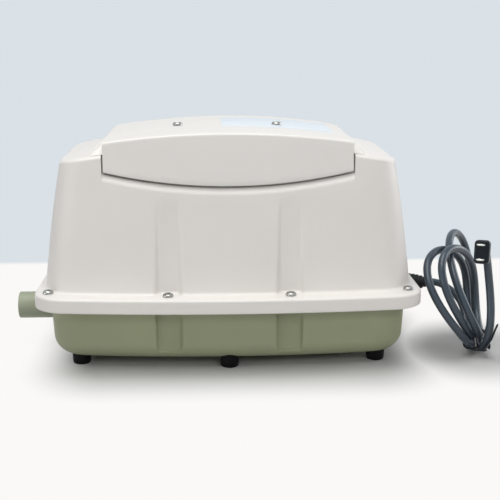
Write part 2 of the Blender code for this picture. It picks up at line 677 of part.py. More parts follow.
def make_base():
    """The base pan: flanged rim, flutes, foot bosses, air chamber and cable bay."""
    under = BASE_TOP - BASE_FLANGE_THICK
    lip_x = FLANGE_LENGTH / 2 - SKIRT_WALL - FIT
    lip_y = FLANGE_DEPTH / 2 - SKIRT_WALL - FIT
    lip_corner = FLANGE_CORNER - SKIRT_WALL
    rings = pan_rings(0.0, 0.0, BASE_LOW)
    rings += [ring(*base_half(under), under), ring(lip_x, lip_y, lip_corner, under),
              ring(lip_x, lip_y, lip_corner, BASE_TOP)]
    base = add("base_tank", loft("base_tank", rings), OLIVE)

    bosses = [(BOSS_RADIUS, (x, y, BASE_LOW - BOSS_DROP), (x, y, BASE_LOW + BASE_EDGE_RADIUS / 2))
              for x, y in foot_places()]
    combine(base, cutter("foot_bosses", rods("foot_bosses", bosses, ROUND_STEPS)), "UNION")

    tank = BASE_WALL + TANK_LEDGE
    ledge_z = TANK_LID_TOP - TANK_LID_THICK - FIT
    ledge_x, ledge_y, corner = base_half(ledge_z)
    rings = pan_rings(tank, BASE_FLOOR, BASE_LOW)
    rings += [ring(ledge_x - tank, ledge_y - tank, corner - tank, ledge_z)]
    rings += [ring(ledge_x - BASE_WALL, ledge_y - BASE_WALL, corner - BASE_WALL, z)
              for z in (ledge_z, BASE_TOP + BASE_FLOOR)]
    cavity = cutter("base_cavity", loft("base_cavity", rings))
    bulkhead = [((BULKHEAD_X, -BASE_DEPTH / 2, BASE_LOW),
                 (BULKHEAD_X + BULKHEAD_THICK, BASE_DEPTH / 2, ledge_z))]
    combine(cavity, cutter("bulkhead", boxes("bulkhead", bulkhead)))
    combine(base, cavity)

    flute_y = base_half(under)[1] - SIDE_BOW * (SCREW_X / base_half(under)[0]) ** 2
    flutes = flute_cutters("base_flutes", flute_y, BASE_FLUTE_DEPTH, BASE_LOW + BASE_FLOOR, under - FIT)
    combine(base, flutes)
    combine(base, screw_holes("base_screw_holes", under - FIT, BASE_TOP + FIT))
    stems = [(FOOT_STEM_RADIUS + HOLE_PLAY, (x, y, BASE_LOW - 2 * BOSS_DROP),
              (x, y, FOOT_HEIGHT + FOOT_STEM_LENGTH + HOLE_PLAY)) for x, y in foot_places()]
    combine(base, cutter("foot_stem_holes", rods("foot_stem_holes", stems)))
    end = BASE_LENGTH / 2
    pipe = [(OUTLET_RADIUS + FIT, (-end - tank, 0, OUTLET_Z), (-end + 2 * tank, 0, OUTLET_Z))]
    combine(base, cutter("outlet_hole", rods("outlet_hole", pipe, ROUND_STEPS)))
    boot = [(BOOT_NECK_RADIUS + FIT, (end - 2 * tank, BOOT_Y, BOOT_Z), (end + tank, BOOT_Y, BOOT_Z))]
    combine(base, cutter("boot_hole", rods("boot_hole", boot, ROUND_STEPS)))


def foot_places():
    """Plan places of the feet: three along the front, then three along the back."""
    front = [(-FOOT_X, -FOOT_Y), (0, -MIDDLE_FOOT_Y), (FOOT_X, -FOOT_Y)]
    return front + [(x, -y) for x, y in front]


def make_feet():
    """Six rubber feet, each with a stem in its boss."""
    names = [row + "_" + col for row in ("front", "back") for col in ("left", "centre", "right")]
    for name, (x, y) in zip(names, foot_places()):
        profile = [(0, FOOT_HEIGHT + FOOT_STEM_LENGTH), (FOOT_STEM_RADIUS, FOOT_HEIGHT + FOOT_STEM_LENGTH),
                   (FOOT_STEM_RADIUS, FOOT_HEIGHT), (FOOT_RADIUS, FOOT_HEIGHT),
                   (FOOT_RADIUS * 0.94, FOOT_HEIGHT * 0.1), (FOOT_RADIUS * 0.88, 0), (0, 0)]
        turned("foot_" + name, profile, RUBBER, (x, y, 0), steps=SMALL_STEPS)


def make_gasket():
    """The rubber gasket between the base's rim and the cover's flange."""
    low = BASE_TOP + FIT
    half_x = FLANGE_LENGTH / 2 - SKIRT_WALL - 2 * FIT
    half_y = FLANGE_DEPTH / 2 - SKIRT_WALL - 2 * FIT
    corner = FLANGE_CORNER - SKIRT_WALL
    rings = [ring(half_x, half_y, corner, z) for z in (low, low + GASKET_THICK)]
    gasket = add("base_gasket", loft("base_gasket", rings), RUBBER)
    in_x, in_y, in_corner = base_half(BASE_TOP)
    rings = [ring(in_x - BASE_WALL, in_y - BASE_WALL, in_corner - BASE_WALL, z)
             for z in (low - GASKET_THICK, low + 2 * GASKET_THICK)]
    combine(gasket, cutter("gasket_window", loft("gasket_window", rings)))
    combine(gasket, screw_holes("gasket_holes", low - FIT, low + GASKET_THICK + FIT))


def make_flange_screws():
    """Eight screws that hold the cover to the base."""
    names = [row + "_" + str(i) for row in ("front", "back") for i in range(1, 5)]
    length = FLANGE_TOP + FIT - (BASE_TOP - BASE_FLANGE_THICK)
    for name, (x, y) in zip(names, screw_places()):
        screw("flange_screw_" + name, (x, y, FLANGE_TOP + FIT), length)


def make_outlet_pipe():
    """The outlet pipe, pushed into the left end of the base."""
    near = BASE_LENGTH / 2 - BASE_WALL - OUTLET_INSIDE
    edge = OUTLET_RADIUS - OUTLET_BORE
    profile = [(OUTLET_BORE + edge * 0.3, OUTLET_REACH), (OUTLET_RADIUS - edge * 0.3, OUTLET_REACH),
               (OUTLET_RADIUS, OUTLET_REACH - edge * 0.4), (OUTLET_RADIUS, near), (OUTLET_BORE, near),
               (OUTLET_BORE, OUTLET_REACH - edge * 0.4)]
    turned("outlet_pipe", profile, OLIVE, (0, 0, OUTLET_Z), "-X", closed=True)


def make_tank_lid():
    """The plate that closes the air chamber, with a spigot for each pump head."""
    low = TANK_LID_TOP - TANK_LID_THICK
    half_x, half_y, corner = base_half(low - FIT)
    inset = BASE_WALL + FIT
    rings = [ring(half_x - inset, half_y - inset, corner - inset, z) for z in (low, TANK_LID_TOP)]
    plate = add("tank_lid", loft("tank_lid", rings), ALUMINIUM)
    edge = BULKHEAD_X + BULKHEAD_THICK
    beyond = [((edge, -BASE_DEPTH / 2, low - FIT), (BASE_LENGTH / 2, BASE_DEPTH / 2, TANK_LID_TOP + FIT))]
    combine(plate, cutter("lid_trim", boxes("lid_trim", beyond)))
    places = (-SPIGOT_X, SPIGOT_X)
    up = [(SPIGOT_RADIUS, (x, 0, low + FIT), (x, 0, TANK_LID_TOP + SPIGOT_HEIGHT)) for x in places]
    combine(plate, cutter("lid_spigots", rods("lid_spigots", up)), "UNION")
    bores = [(SPIGOT_BORE, (x, 0, low - FIT), (x, 0, TANK_LID_TOP + 2 * SPIGOT_HEIGHT)) for x in places]
    combine(plate, cutter("lid_bores", rods("lid_bores", bores)))


def make_mounts():
    """Four waisted rubber mounts under the drive frame."""
    low = TANK_LID_TOP + FIT
    for row, y in (("front", -MOUNT_Y), ("back", MOUNT_Y)):
        for col, x in (("left", -MOUNT_X), ("right", MOUNT_X)):
            profile = [(0, MOUNT_HEIGHT), (MOUNT_RADIUS, MOUNT_HEIGHT),
                       (MOUNT_RADIUS * 0.75, MOUNT_HEIGHT / 2), (MOUNT_RADIUS, 0), (0, 0)]
            turned("vibration_mount_" + row + "_" + col, profile, RUBBER, (x, y, low), steps=SMALL_STEPS)


def make_frame():
    """The drive frame: floor plate, core seats and two end plates."""
    end = END_PLATE_X + END_PLATE_THICK
    top = FRAME_LOW + FRAME_PLATE
    seat = DRIVE_Z - CORE_HALF_Z - FIT
    frame = add("drive_frame", boxes("drive_frame", [
        ((-end, -FRAME_HALF_Y, FRAME_LOW), (end, FRAME_HALF_Y, top))]), ALUMINIUM)
    walls, seats = [], []
    for side in (-1, 1):
        near, far = sorted((side * END_PLATE_X, side * end))
        walls.append(((near, -FRAME_HALF_Y, FRAME_LOW + FIT), (far, FRAME_HALF_Y, FRAME_TOP)))
        near, far = sorted((side * CORE_BACK_Y, side * (CORE_BACK_Y - CORE_YOKE)))
        seats.append(((-CORE_HALF_X, near, FRAME_LOW + FIT), (CORE_HALF_X, far, seat)))
    combine(frame, cutter("frame_walls", boxes("frame_walls", walls + seats)), "UNION")
    through = [(END_HOLE_RADIUS, (-2 * end, 0, DRIVE_Z), (2 * end, 0, DRIVE_Z))]
    combine(frame, cutter("frame_windows", rods("frame_windows", through, ROUND_STEPS)))


def make_magnet_drive():
    """Two E cores with their coils, front and back of the rod, and the magnets on the rod."""
    window = (CORE_HALF_X - CORE_LEG) - CORE_CENTRE_LEG / 2
    coil_out = CORE_HALF_X - CORE_LEG - FIT
    coil_in = CORE_CENTRE_LEG / 2 + FIT
    yoke = CORE_BACK_Y - CORE_YOKE
    for row, side in (("front", -1), ("back", 1)):
        def span(x0, x1, y0, y1, half_z):
            ys = sorted((side * y0, side * y1))
            return (x0, ys[0], DRIVE_Z - half_z), (x1, ys[1], DRIVE_Z + half_z)

        core = add("core_" + row, boxes("core_" + row, [
            span(-CORE_HALF_X, CORE_HALF_X, CORE_FACE_Y, CORE_BACK_Y, CORE_HALF_Z)]), LAMINATION)
        middle = CORE_CENTRE_LEG / 2 + window / 2
        slots = [span(x - window / 2, x + window / 2, 0, yoke, 2 * CORE_HALF_Z) for x in (-middle, middle)]
        combine(core, cutter("core_slots_" + row, boxes("core_slots_" + row, slots)))
        coil = add("coil_" + row, boxes("coil_" + row, [
            span(-coil_out, coil_out, CORE_FACE_Y + AIR_GAP, yoke - FIT, COIL_HALF_Z)]), COPPER)
        round_off = coil.modifiers.new("wound_edges", "BEVEL")
        round_off.width = (coil_out - coil_in) / 3
        round_off.segments = 2
        hole = [span(-coil_in, coil_in, 0, 2 * yoke, CORE_HALF_Z + FIT)]
        combine(coil, cutter("coil_hole_" + row, boxes("coil_hole_" + row, hole)))
    half_y = CORE_FACE_Y - AIR_GAP
    for col, side in (("left", -1), ("right", 1)):
        xs = sorted((side * MAGNET_START, side * (MAGNET_START + MAGNET_LENGTH)))
        block = add("magnet_" + col, boxes("magnet_" + col, [
            ((xs[0], -half_y, DRIVE_Z - MAGNET_HALF_Z), (xs[1], half_y, DRIVE_Z + MAGNET_HALF_Z))]), MAGNET)
        bore = [(ROD_RADIUS + FIT, (-END_PLATE_X, 0, DRIVE_Z), (END_PLATE_X, 0, DRIVE_Z))]
        combine(block, cutter("magnet_bore_" + col, rods("magnet_bore_" + col, bore)))


def make_rod():
    """The armature rod, with a disc behind each diaphragm."""
    face = END_PLATE_X + END_PLATE_THICK
    tip = HEAD_START + PLATE_THICK + NUT_HEIGHT + 2 * FIT
    disc = face - ROD_DISC_THICK
    half = [(0, tip), (ROD_RADIUS, tip), (ROD_RADIUS, face), (ROD_DISC_RADIUS, face), (ROD_DISC_RADIUS, disc),
            (ROD_RADIUS, disc)]
    profile = half + [(radius, -height) for radius, height in reversed(half)]
    turned("armature_rod", profile, STEEL, (0, 0, DRIVE_Z), "+X")


def make_pump_end(col, side):
    """One end of the pump: diaphragm, plate, nut, head, cover, two valve flaps and the outlet sleeve."""
    axis = "+X" if side > 0 else "-X"
    place = (0, 0, DRIVE_Z)
    near = END_PLATE_X + END_PLATE_THICK + FIT
    far = near + DIAPHRAGM_THICK
    hole = ROD_RADIUS + FIT
    flat = max(PLATE_RADIUS, ROD_DISC_RADIUS) + FIT
    roll = (CHAMBER_RADIUS - flat) / 4
    outer = [(hole, far), (flat, far), (flat + roll, far + DIAPHRAGM_ROLL),
             (CHAMBER_RADIUS - roll, far + DIAPHRAGM_ROLL), (CHAMBER_RADIUS, far), (DIAPHRAGM_RADIUS, far)]
    inner = [(DIAPHRAGM_RADIUS, near), (CHAMBER_RADIUS, near), (CHAMBER_RADIUS - roll, near + DIAPHRAGM_ROLL),
             (flat + roll, near + DIAPHRAGM_ROLL), (flat, near), (hole, near)]
    turned("diaphragm_" + col, outer + inner, RUBBER, place, axis, closed=True)

    start = far + FIT
    profile = [(hole, start + PLATE_THICK), (PLATE_RADIUS, start + PLATE_THICK), (PLATE_RADIUS, start),
               (hole, start)]
    turned("diaphragm_plate_" + col, profile, ALUMINIUM, place, axis, closed=True)
    start += PLATE_THICK + FIT
    corner = NUT_FLATS / math.sqrt(3)
    thread = hole / math.cos(math.pi / 6)
    profile = [(thread, start + NUT_HEIGHT), (corner, start + NUT_HEIGHT), (corner, start), (thread, start)]
    turned("rod_nut_" + col, profile, STEEL, place, axis, steps=6, closed=True)

    profile = [(0, HEAD_END), (HEAD_RADIUS, HEAD_END), (HEAD_RADIUS, HEAD_START), (CHAMBER_RADIUS, HEAD_START),
               (CHAMBER_RADIUS, WALL_START), (0, WALL_START)]
    head = turned("pump_head_" + col, profile, ALUMINIUM, place, axis)
    x = side * SPIGOT_X
    tube = [(SPIGOT_RADIUS, (x, 0, TANK_LID_TOP + SPIGOT_HEIGHT + FIT), (x, 0, DRIVE_Z - POCKET_FAR))]
    combine(head, cutter("head_spigot_" + col, rods("head_spigot_" + col, tube)), "UNION")
    pockets = []
    for up in (-1, 1):
        xs = sorted((side * POCKET_START, side * (HEAD_END + HEAD_COVER_THICK)))
        zs = sorted((DRIVE_Z + up * POCKET_NEAR, DRIVE_Z + up * POCKET_FAR))
        pockets.append(((xs[0], -POCKET_HALF_Y, zs[0]), (xs[1], POCKET_HALF_Y, zs[1])))
    combine(head, cutter("head_pockets_" + col, boxes("head_pockets_" + col, pockets)))
    bores = [(PORT_RADIUS, (side * (WALL_START - FIT), 0, DRIVE_Z + up * PORT_OFFSET),
              (side * (POCKET_START + FIT), 0, DRIVE_Z + up * PORT_OFFSET)) for up in (-1, 1)]
    roof = DRIVE_Z + POCKET_FAR - PORT_RADIUS
    bores += [(SPIGOT_BORE, (x, 0, TANK_LID_TOP), (x, 0, DRIVE_Z - POCKET_FAR + SPIGOT_BORE)),
              (PORT_RADIUS, (x, 0, roof), (x, 0, DRIVE_Z + HEAD_RADIUS + PORT_RADIUS))]
    combine(head, cutter("head_bores_" + col, rods("head_bores_" + col, bores)))

    start = HEAD_END + FIT
    top = start + HEAD_COVER_THICK
    profile = [(0, top), (HEAD_RADIUS - EDGE_ROUND, top), (HEAD_RADIUS, top - EDGE_ROUND / 2),
               (HEAD_RADIUS, start), (0, start)]
    turned("head_cover_" + col, profile, ALUMINIUM, place, axis)

    faces = (("intake", 1, WALL_START - FIT - FLAP_THICK), ("discharge", -1, POCKET_START + FIT))
    for kind, up, face in faces:
        hinge = DRIVE_Z + up * PORT_OFFSET + FLAP_LENGTH / 2
        leaf = boxes(kind, [((-FLAP_THICK / 2, -FLAP_HALF_WIDTH, -FLAP_LENGTH),
                             (FLAP_THICK / 2, FLAP_HALF_WIDTH, 0))])
        add(kind + "_flap_" + col, leaf, RUBBER, (side * (face + FLAP_THICK / 2), 0, hinge))

    low = TANK_LID_TOP + FIT
    high = DRIVE_Z - HEAD_RADIUS - FIT
    inner = SPIGOT_RADIUS + FIT
    turned("outlet_sleeve_" + col, [(inner, high), (inner + SLEEVE_WALL, high), (inner + SLEEVE_WALL, low),
                                    (inner, low)], RUBBER, (x, 0, 0), steps=SMALL_STEPS, closed=True)


def make_terminal_block():
    """The mains terminal block, on the floor of the cable bay."""
    low = BASE_LOW + BASE_FLOOR + FIT
    top = low + TERMINAL_HEIGHT
    x = BULKHEAD_X + BULKHEAD_THICK + FIT
    half = TERMINAL_LENGTH / 2
    span = ((x, TERMINAL_Y - half, low), (x + TERMINAL_WIDTH, TERMINAL_Y + half, top))
    block = add("terminal_block", boxes("terminal_block", [span]), NYLON)
    pitch = TERMINAL_LENGTH / TERMINAL_GROOVES
    grooves = []
    for i in range(TERMINAL_GROOVES):
        y = TERMINAL_Y + (i - (TERMINAL_GROOVES - 1) / 2) * pitch
        grooves.append(((x - FIT, y - TERMINAL_GROOVE_WIDTH / 2, top - TERMINAL_GROOVE_DEPTH),
                        (x + TERMINAL_WIDTH + FIT, y + TERMINAL_GROOVE_WIDTH / 2, top + TERMINAL_HEIGHT)))
    combine(block, cutter("terminal_grooves", boxes("terminal_grooves", grooves)))


def ease(t):
    """A smooth step from 0 to 1."""
    return t * t * (3 - 2 * t)


def tie_slots():
    """Side and height of each pass of the cord through its tie."""
    side = SLOT_PITCH / 2
    low = CORD_DIAMETER / 2 + TIE_LIFT
    high = low + SLOT_PITCH
    return [(-side, low), (-side, high), (side, high), (side, low)]


def bearings(bearing):
    """The direction in which the cord passes forward at a bearing, and the one across it."""
    front = Vector((-math.sin(bearing), -math.cos(bearing), 0))
    across = Vector((math.cos(bearing), -math.sin(bearing), 0))
    return front, across


def hank_points():
    """The hank's centre line: each loop leaves the tie to the front, goes over and comes back behind."""
    slots = tie_slots()
    count = len(HANK_LOOPS)
    points = []
    for i in range(count * LOOP_POINTS + 1):
        turn = min(i // LOOP_POINTS, count - 1)
        t = i / LOOP_POINTS - turn
        before = math.floor(turn + t - 0.5)
        mix = ease(turn + t - 0.5 - before)
        pair = [HANK_LOOPS[min(max(k, 0), count - 1)] for k in (before, before + 1)]
        top, width, lean_x, lean_y, height = (a + (b - a) * mix for a, b in zip(*pair))
        side, level = (a + (b - a) * ease(t) for a, b in zip(slots[turn], slots[turn + 1]))
        angle = 2 * math.pi * t
        rise = (1 - math.cos(angle)) / 2
        front, across = bearings(TIE_BEARING + (math.radians(top) - TIE_BEARING) * rise)
        points.append(Vector((*TIE_PLACE, level)) + rise * Vector((lean_x, lean_y, height))
                      + width * math.sin(angle) * front + side * across)
    straight = CORD_DIAMETER * bearings(TIE_BEARING)[0]
    return [points[0] - straight] + points + [points[-1] + straight]


def least_gap(points):
    """Least clear distance between stretches of the cord that aren't neighbours along it."""
    places = np.array(points)
    along = np.concatenate([[0], np.cumsum(np.linalg.norm(np.diff(places, axis=0), axis=1))])
    steps = np.linspace(0, along[-1], 8 * len(points))
    fine = np.stack([np.interp(steps, along, places[:, k]) for k in range(3)], -1)
    apart = np.linalg.norm(fine[:, None] - fine[None], axis=2)
    apart[np.abs(steps[:, None] - steps[None]) < 5 * CORD_DIAMETER] = math.inf
    return apart.min() - CORD_DIAMETER


def smooth(points, start, end, count):
    """Evenly spaced points on a curve through a list of points, with a given direction at each end."""
    knots = np.array(points, dtype=float)
    span = np.linalg.norm(np.diff(knots, axis=0), axis=1)
    slope = np.diff(knots, axis=0) / span[:, None]
    last = len(knots) - 1
    system = np.zeros((last + 1, last + 1))
    turn = np.zeros((last + 1, 3))
    system[0, :2] = 2 * span[0], span[0]
    system[last, last - 1:] = span[-1], 2 * span[-1]
    turn[0] = 6 * (slope[0] - np.array(start))
    turn[last] = 6 * (np.array(end) - slope[-1])
    for i in range(1, last):
        system[i, i - 1:i + 2] = span[i - 1], 2 * (span[i - 1] + span[i]), span[i]
        turn[i] = 6 * (slope[i] - slope[i - 1])
    bend = np.linalg.solve(system, turn)
    reach = np.concatenate([[0], np.cumsum(span)])
    fine = np.linspace(0, reach[-1], 40 * count)
    k = np.clip(np.searchsorted(reach, fine, side="right") - 1, 0, last - 1)
    left, right, gap = (reach[k + 1] - fine)[:, None], (fine - reach[k])[:, None], span[k][:, None]
    curve = (bend[k] * left ** 3 + bend[k + 1] * right ** 3) / (6 * gap)
    curve += (knots[k] / gap - bend[k] * gap / 6) * left
    curve += (knots[k + 1] / gap - bend[k + 1] * gap / 6) * right
    along = np.concatenate([[0], np.cumsum(np.linalg.norm(np.diff(curve, axis=0), axis=1))])
    even = np.linspace(0, along[-1], count)
    return [Vector([np.interp(s, along, curve[:, axis]) for axis in range(3)]) for s in even]


def run(start, start_aim, between, end, end_aim, count):
    """A free stretch of cord, with a short straight stub at each end so that its ends are square."""
    stub = CORD_STUB * CORD_DIAMETER
    first, last = start + stub * start_aim, end - stub * end_aim
    return [start] + smooth([first, *between, last], start_aim, end_aim, count) + [end]


def tube(name, points, diameter, material, sides):
    """A round tube with flat ends along a list of points."""
    curve = bpy.data.curves.new(name, "CURVE")
    curve.dimensions = "3D"
    curve.bevel_depth = diameter / 2
    curve.bevel_resolution = sides
    curve.use_fill_caps = True
    line = curve.splines.new("POLY")
    line.points.add(len(points) - 1)
    for knot, place in zip(line.points, points):
        knot.co = (*place, 1)
    piece = bpy.data.objects.new(name, curve)
    piece.parent = PUMP
    curve.materials.append(material)
    PARTS.objects.link(piece)
    return piece


def make_boot():
    """The ribbed strain relief in the right end of the base."""
    outside = base_half(BOOT_Z + BOOT_ROOT_RADIUS)[0] + FIT
    inside = base_half(BOOT_Z - BOOT_COLLAR_RADIUS)[0] - BASE_WALL - TANK_LEDGE - 4 * FIT
    length = BOOT_REACH - outside
    profile = []
    for i in range(BOOT_RIBS):
        for part, cut in ((0.0, 0.0), (0.55, 0.0), (0.55, BOOT_RIB_GROOVE), (0.999, BOOT_RIB_GROOVE)):
            s = (i + part) / BOOT_RIBS
            taper = max(0.0, s - BOOT_TAPER_START) / (1 - BOOT_TAPER_START)
            radius = BOOT_ROOT_RADIUS + (BOOT_TIP_RADIUS - BOOT_ROOT_RADIUS) * taper ** 1.6
            radius = max(radius - cut * (1 - taper * 0.6), BOOT_TIP_RADIUS * 0.8)
            profile.append((radius, outside + s * length))
    profile = [(0, BOOT_REACH)] + list(reversed(profile))
    profile += [(BOOT_NECK_RADIUS, outside), (BOOT_NECK_RADIUS, inside), (BOOT_COLLAR_RADIUS, inside),
                (BOOT_COLLAR_RADIUS, inside - BOOT_INSIDE), (0, inside - BOOT_INSIDE)]
    turned("cord_strain_relief", profile, RUBBER, (0, BOOT_Y, BOOT_Z), "+X", steps=SMALL_STEPS)


def make_cord():
    """The cord from its strain relief, through the tied hank, to the plug."""
    hank = hank_points()
    front = bearings(TIE_BEARING)[0]
    start = Vector((BOOT_REACH + FIT, BOOT_Y, BOOT_Z))
    lead = run(start, Vector((1, 0, 0)), LEAD_POINTS, hank[0] - FIT * front, front, LEAD_COUNT)
    aim = Vector(PLUG_AIM).normalized()
    tail = run(hank[-1] + FIT * front, front, TAIL_POINTS, Vector(PLUG_PLACE) - FIT * aim, aim, TAIL_COUNT)
    tube("cord_lead", lead, CORD_DIAMETER, GREY_CORD, 2)
    tube("cord_hank", hank, CORD_DIAMETER, GREY_CORD, 1)
    tube("cord_tail", tail, CORD_DIAMETER, GREY_CORD, 2)
    print("hank's least gap to itself, mm:", round(1000 * least_gap(hank), 2))


def make_tie():
    """A twisted wire tie around the passes of the cord, with its two tails."""
    front, across = bearings(TIE_BEARING)
    up = Vector((0, 0, 1))
    middle = Vector((*TIE_PLACE, CORD_DIAMETER / 2 + TIE_LIFT + SLOT_PITCH / 2))
    half = SLOT_PITCH / 2 + CORD_DIAMETER / 2 + TIE_WIRE / 2 + TIE_CLEARANCE
    points = []
    for i in range(TIE_POINTS + 1):
        angle = math.radians(50) + 2 * math.pi * i / TIE_POINTS
        size = half / (math.cos(angle) ** 4 + math.sin(angle) ** 4) ** 0.25
        shift = (i / TIE_POINTS - 0.5) * 2.5 * TIE_WIRE
        points.append(middle + size * (math.cos(angle) * across + math.sin(angle) * up) + shift * front)
    ends = [(across + 2 * up - front).normalized(), (across + up + 0.6 * front).normalized()]
    points = [points[0] + TIE_TAIL / 3 * ends[0]] + points + [points[-1] + TIE_TAIL * ends[1]]
    tube("cord_tie", points, TIE_WIRE, NYLON, 0)


def make_plug():
    """The two-blade plug: a moulded body with a collar for the cord, and its blades."""
    aim = Vector(PLUG_AIM).normalized()
    side = Vector((0, 0, 1)).cross(aim).normalized()
    frame = Matrix((side, aim.cross(side), aim)).transposed().to_4x4()
    frame.translation = Vector(PLUG_PLACE)
    half_x, half_y = PLUG_WIDTH / 2, PLUG_HEIGHT / 2
    r = PLUG_COLLAR_RADIUS
    stages = [(0, r * 0.92, r * 0.92, r * 0.9), (PLUG_COLLAR, r, r, r * 0.98),
              (PLUG_COLLAR + PLUG_SHOULDER, half_x * 0.9, half_y * 0.9, r * 0.9),
              (PLUG_COLLAR + 2 * PLUG_SHOULDER, half_x, half_y, r * 0.8),
              (PLUG_LENGTH - PLUG_EDGE, half_x, half_y, r * 0.8),
              (PLUG_LENGTH, half_x - PLUG_EDGE, half_y - PLUG_EDGE, r * 0.6)]
    rows = []
    for z, x, y, corner in stages:
        row = []
        for i in range(SMALL_STEPS):
            angle = 2 * math.pi * (i + 0.5) / SMALL_STEPS
            cx, cy = (math.copysign(1, t) for t in (math.cos(angle), math.sin(angle)))
            row.append(Vector((cx * (x - corner) + corner * math.cos(angle),
                               cy * (y - corner) + corner * math.sin(angle), z)))
        rows.append([frame @ p for p in row])
    body = add("plug_body", loft_along("plug_body", [rows]), NYLON)
    sockets = []
    for name, up in (("upper", 1), ("lower", -1)):
        y = up * BLADE_SPACING / 2
        low = PLUG_LENGTH - BLADE_SOCKET
        wide, thick = BLADE_WIDTH / 2, BLADE_THICK / 2
        span = ((-wide, y - thick, low + FIT), (wide, y + thick, PLUG_LENGTH + BLADE_REACH))
        blade = boxes("plug_blade_" + name, [span])
        blade.transform(frame)
        add("plug_blade_" + name, blade, BRASS)
        sockets.append(((-wide - FIT, y - thick - FIT, low), (wide + FIT, y + thick + FIT, PLUG_LENGTH + FIT)))
    holes = boxes("plug_sockets", sockets)
    holes.transform(frame)
    combine(body, cutter("plug_sockets", holes))


make_base()
make_feet()
make_gasket()
make_cover()
make_filter_cover()
make_flange_screws()
make_outlet_pipe()
make_tank_lid()
make_mounts()
make_frame()
make_magnet_drive()
make_rod()
make_pump_end("left", -1)
make_pump_end("right", 1)
make_terminal_block()
make_boot()
make_cord()
make_tie()
make_plug()
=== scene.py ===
"""Looks of the linear diaphragm air pump: shells, lid, feet, screws, cord and finishes over its CAD frame.

Metres, +Z up, front towards -Y. Lengths along X count from the middle of the housing until a mesh is placed.
"""
from __future__ import annotations

import logging
import math
from dataclasses import dataclass
from enum import Enum
from typing import Callable, Iterable, Optional, Sequence

import bmesh
import bpy
import numpy as np
from mathutils import Matrix, Vector


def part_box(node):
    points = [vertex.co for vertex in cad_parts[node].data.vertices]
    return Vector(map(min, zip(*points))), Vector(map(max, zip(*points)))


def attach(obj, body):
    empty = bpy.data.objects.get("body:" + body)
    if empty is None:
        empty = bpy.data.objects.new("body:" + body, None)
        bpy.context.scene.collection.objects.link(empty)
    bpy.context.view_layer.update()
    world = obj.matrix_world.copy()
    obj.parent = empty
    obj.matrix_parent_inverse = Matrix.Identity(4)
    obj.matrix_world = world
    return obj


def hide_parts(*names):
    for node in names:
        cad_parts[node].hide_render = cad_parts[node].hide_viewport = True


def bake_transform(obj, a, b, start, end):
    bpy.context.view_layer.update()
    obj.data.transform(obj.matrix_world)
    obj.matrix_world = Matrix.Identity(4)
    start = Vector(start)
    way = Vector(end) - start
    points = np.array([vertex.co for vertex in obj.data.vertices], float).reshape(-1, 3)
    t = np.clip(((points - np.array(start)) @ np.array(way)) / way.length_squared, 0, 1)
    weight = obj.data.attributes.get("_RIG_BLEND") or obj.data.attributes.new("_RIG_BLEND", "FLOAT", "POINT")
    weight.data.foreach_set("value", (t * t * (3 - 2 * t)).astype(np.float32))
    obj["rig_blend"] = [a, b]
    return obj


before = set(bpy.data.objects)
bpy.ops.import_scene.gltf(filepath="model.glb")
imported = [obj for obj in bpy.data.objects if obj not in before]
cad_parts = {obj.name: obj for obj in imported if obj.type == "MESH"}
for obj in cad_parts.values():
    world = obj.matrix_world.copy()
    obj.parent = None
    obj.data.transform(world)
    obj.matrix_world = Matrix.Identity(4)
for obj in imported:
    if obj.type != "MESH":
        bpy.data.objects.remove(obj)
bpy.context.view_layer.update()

LOG = logging.getLogger("air_pump")

# The gap that neighbouring solids keep, and the distances under which points count as one.
FIT = 0.0003
WELD = 2e-6
SLIVER = 1e-7
NEAR = 1e-6

# The photograph's side in pixels, and the sensor that its focal length is counted on.
IMAGE_SIDE = 500
SENSOR = 36.0

# Reach of a corner's rounding for each unit of radius, its most along a leg, and a small one's middle point.
CORNER_CUT = 1.4
LEG_SHARE = 0.45
CHAMFER = 0.3

Colour = tuple[float, float, float]
Spot = tuple[float, float, float]
Pair = tuple[float, float]
Rows = Sequence[Sequence[Sequence[float]]]
Socket = bpy.types.NodeSocket
Object = bpy.types.Object
Mesh = bpy.types.Mesh


def ease(t: float) -> float:
    """A smooth step from 0 to 1."""
    return t * t * (3 - 2 * t)


def clamp(value: float, low: float = 0.0, high: float = 1.0) -> float:
    """A value held between two limits."""
    return min(max(value, low), high)


def soft_min(a: float, b: float, blend: float) -> float:
    """The lesser of two values, rounded where they come within a blend of each other."""
    share = max(blend - abs(a - b), 0.0) / blend
    return min(a, b) - share * share * blend / 4


def spread(low: float, high: float, count: int) -> list[float]:
    """Evenly spaced values from low to high, both included."""
    return [low + (high - low) * i / (count - 1) for i in range(count)]


def quarter(count: int) -> list[Pair]:
    """Sine and cosine at even steps over a quarter turn, both ends included."""
    return [(math.sin(t * math.pi / 2), math.cos(t * math.pi / 2)) for t in spread(0, 1, count)]


def around(count: int) -> list[Pair]:
    """Cosine and sine at even steps of a full turn."""
    return [(math.cos(a), math.sin(a)) for a in spread(0, 2 * math.pi, count + 1)[:-1]]


def fall(past: float, radius: float = 1.0) -> float:
    """Drop of an arc at a distance past its crest."""
    return radius - math.sqrt(radius * radius - past * past)


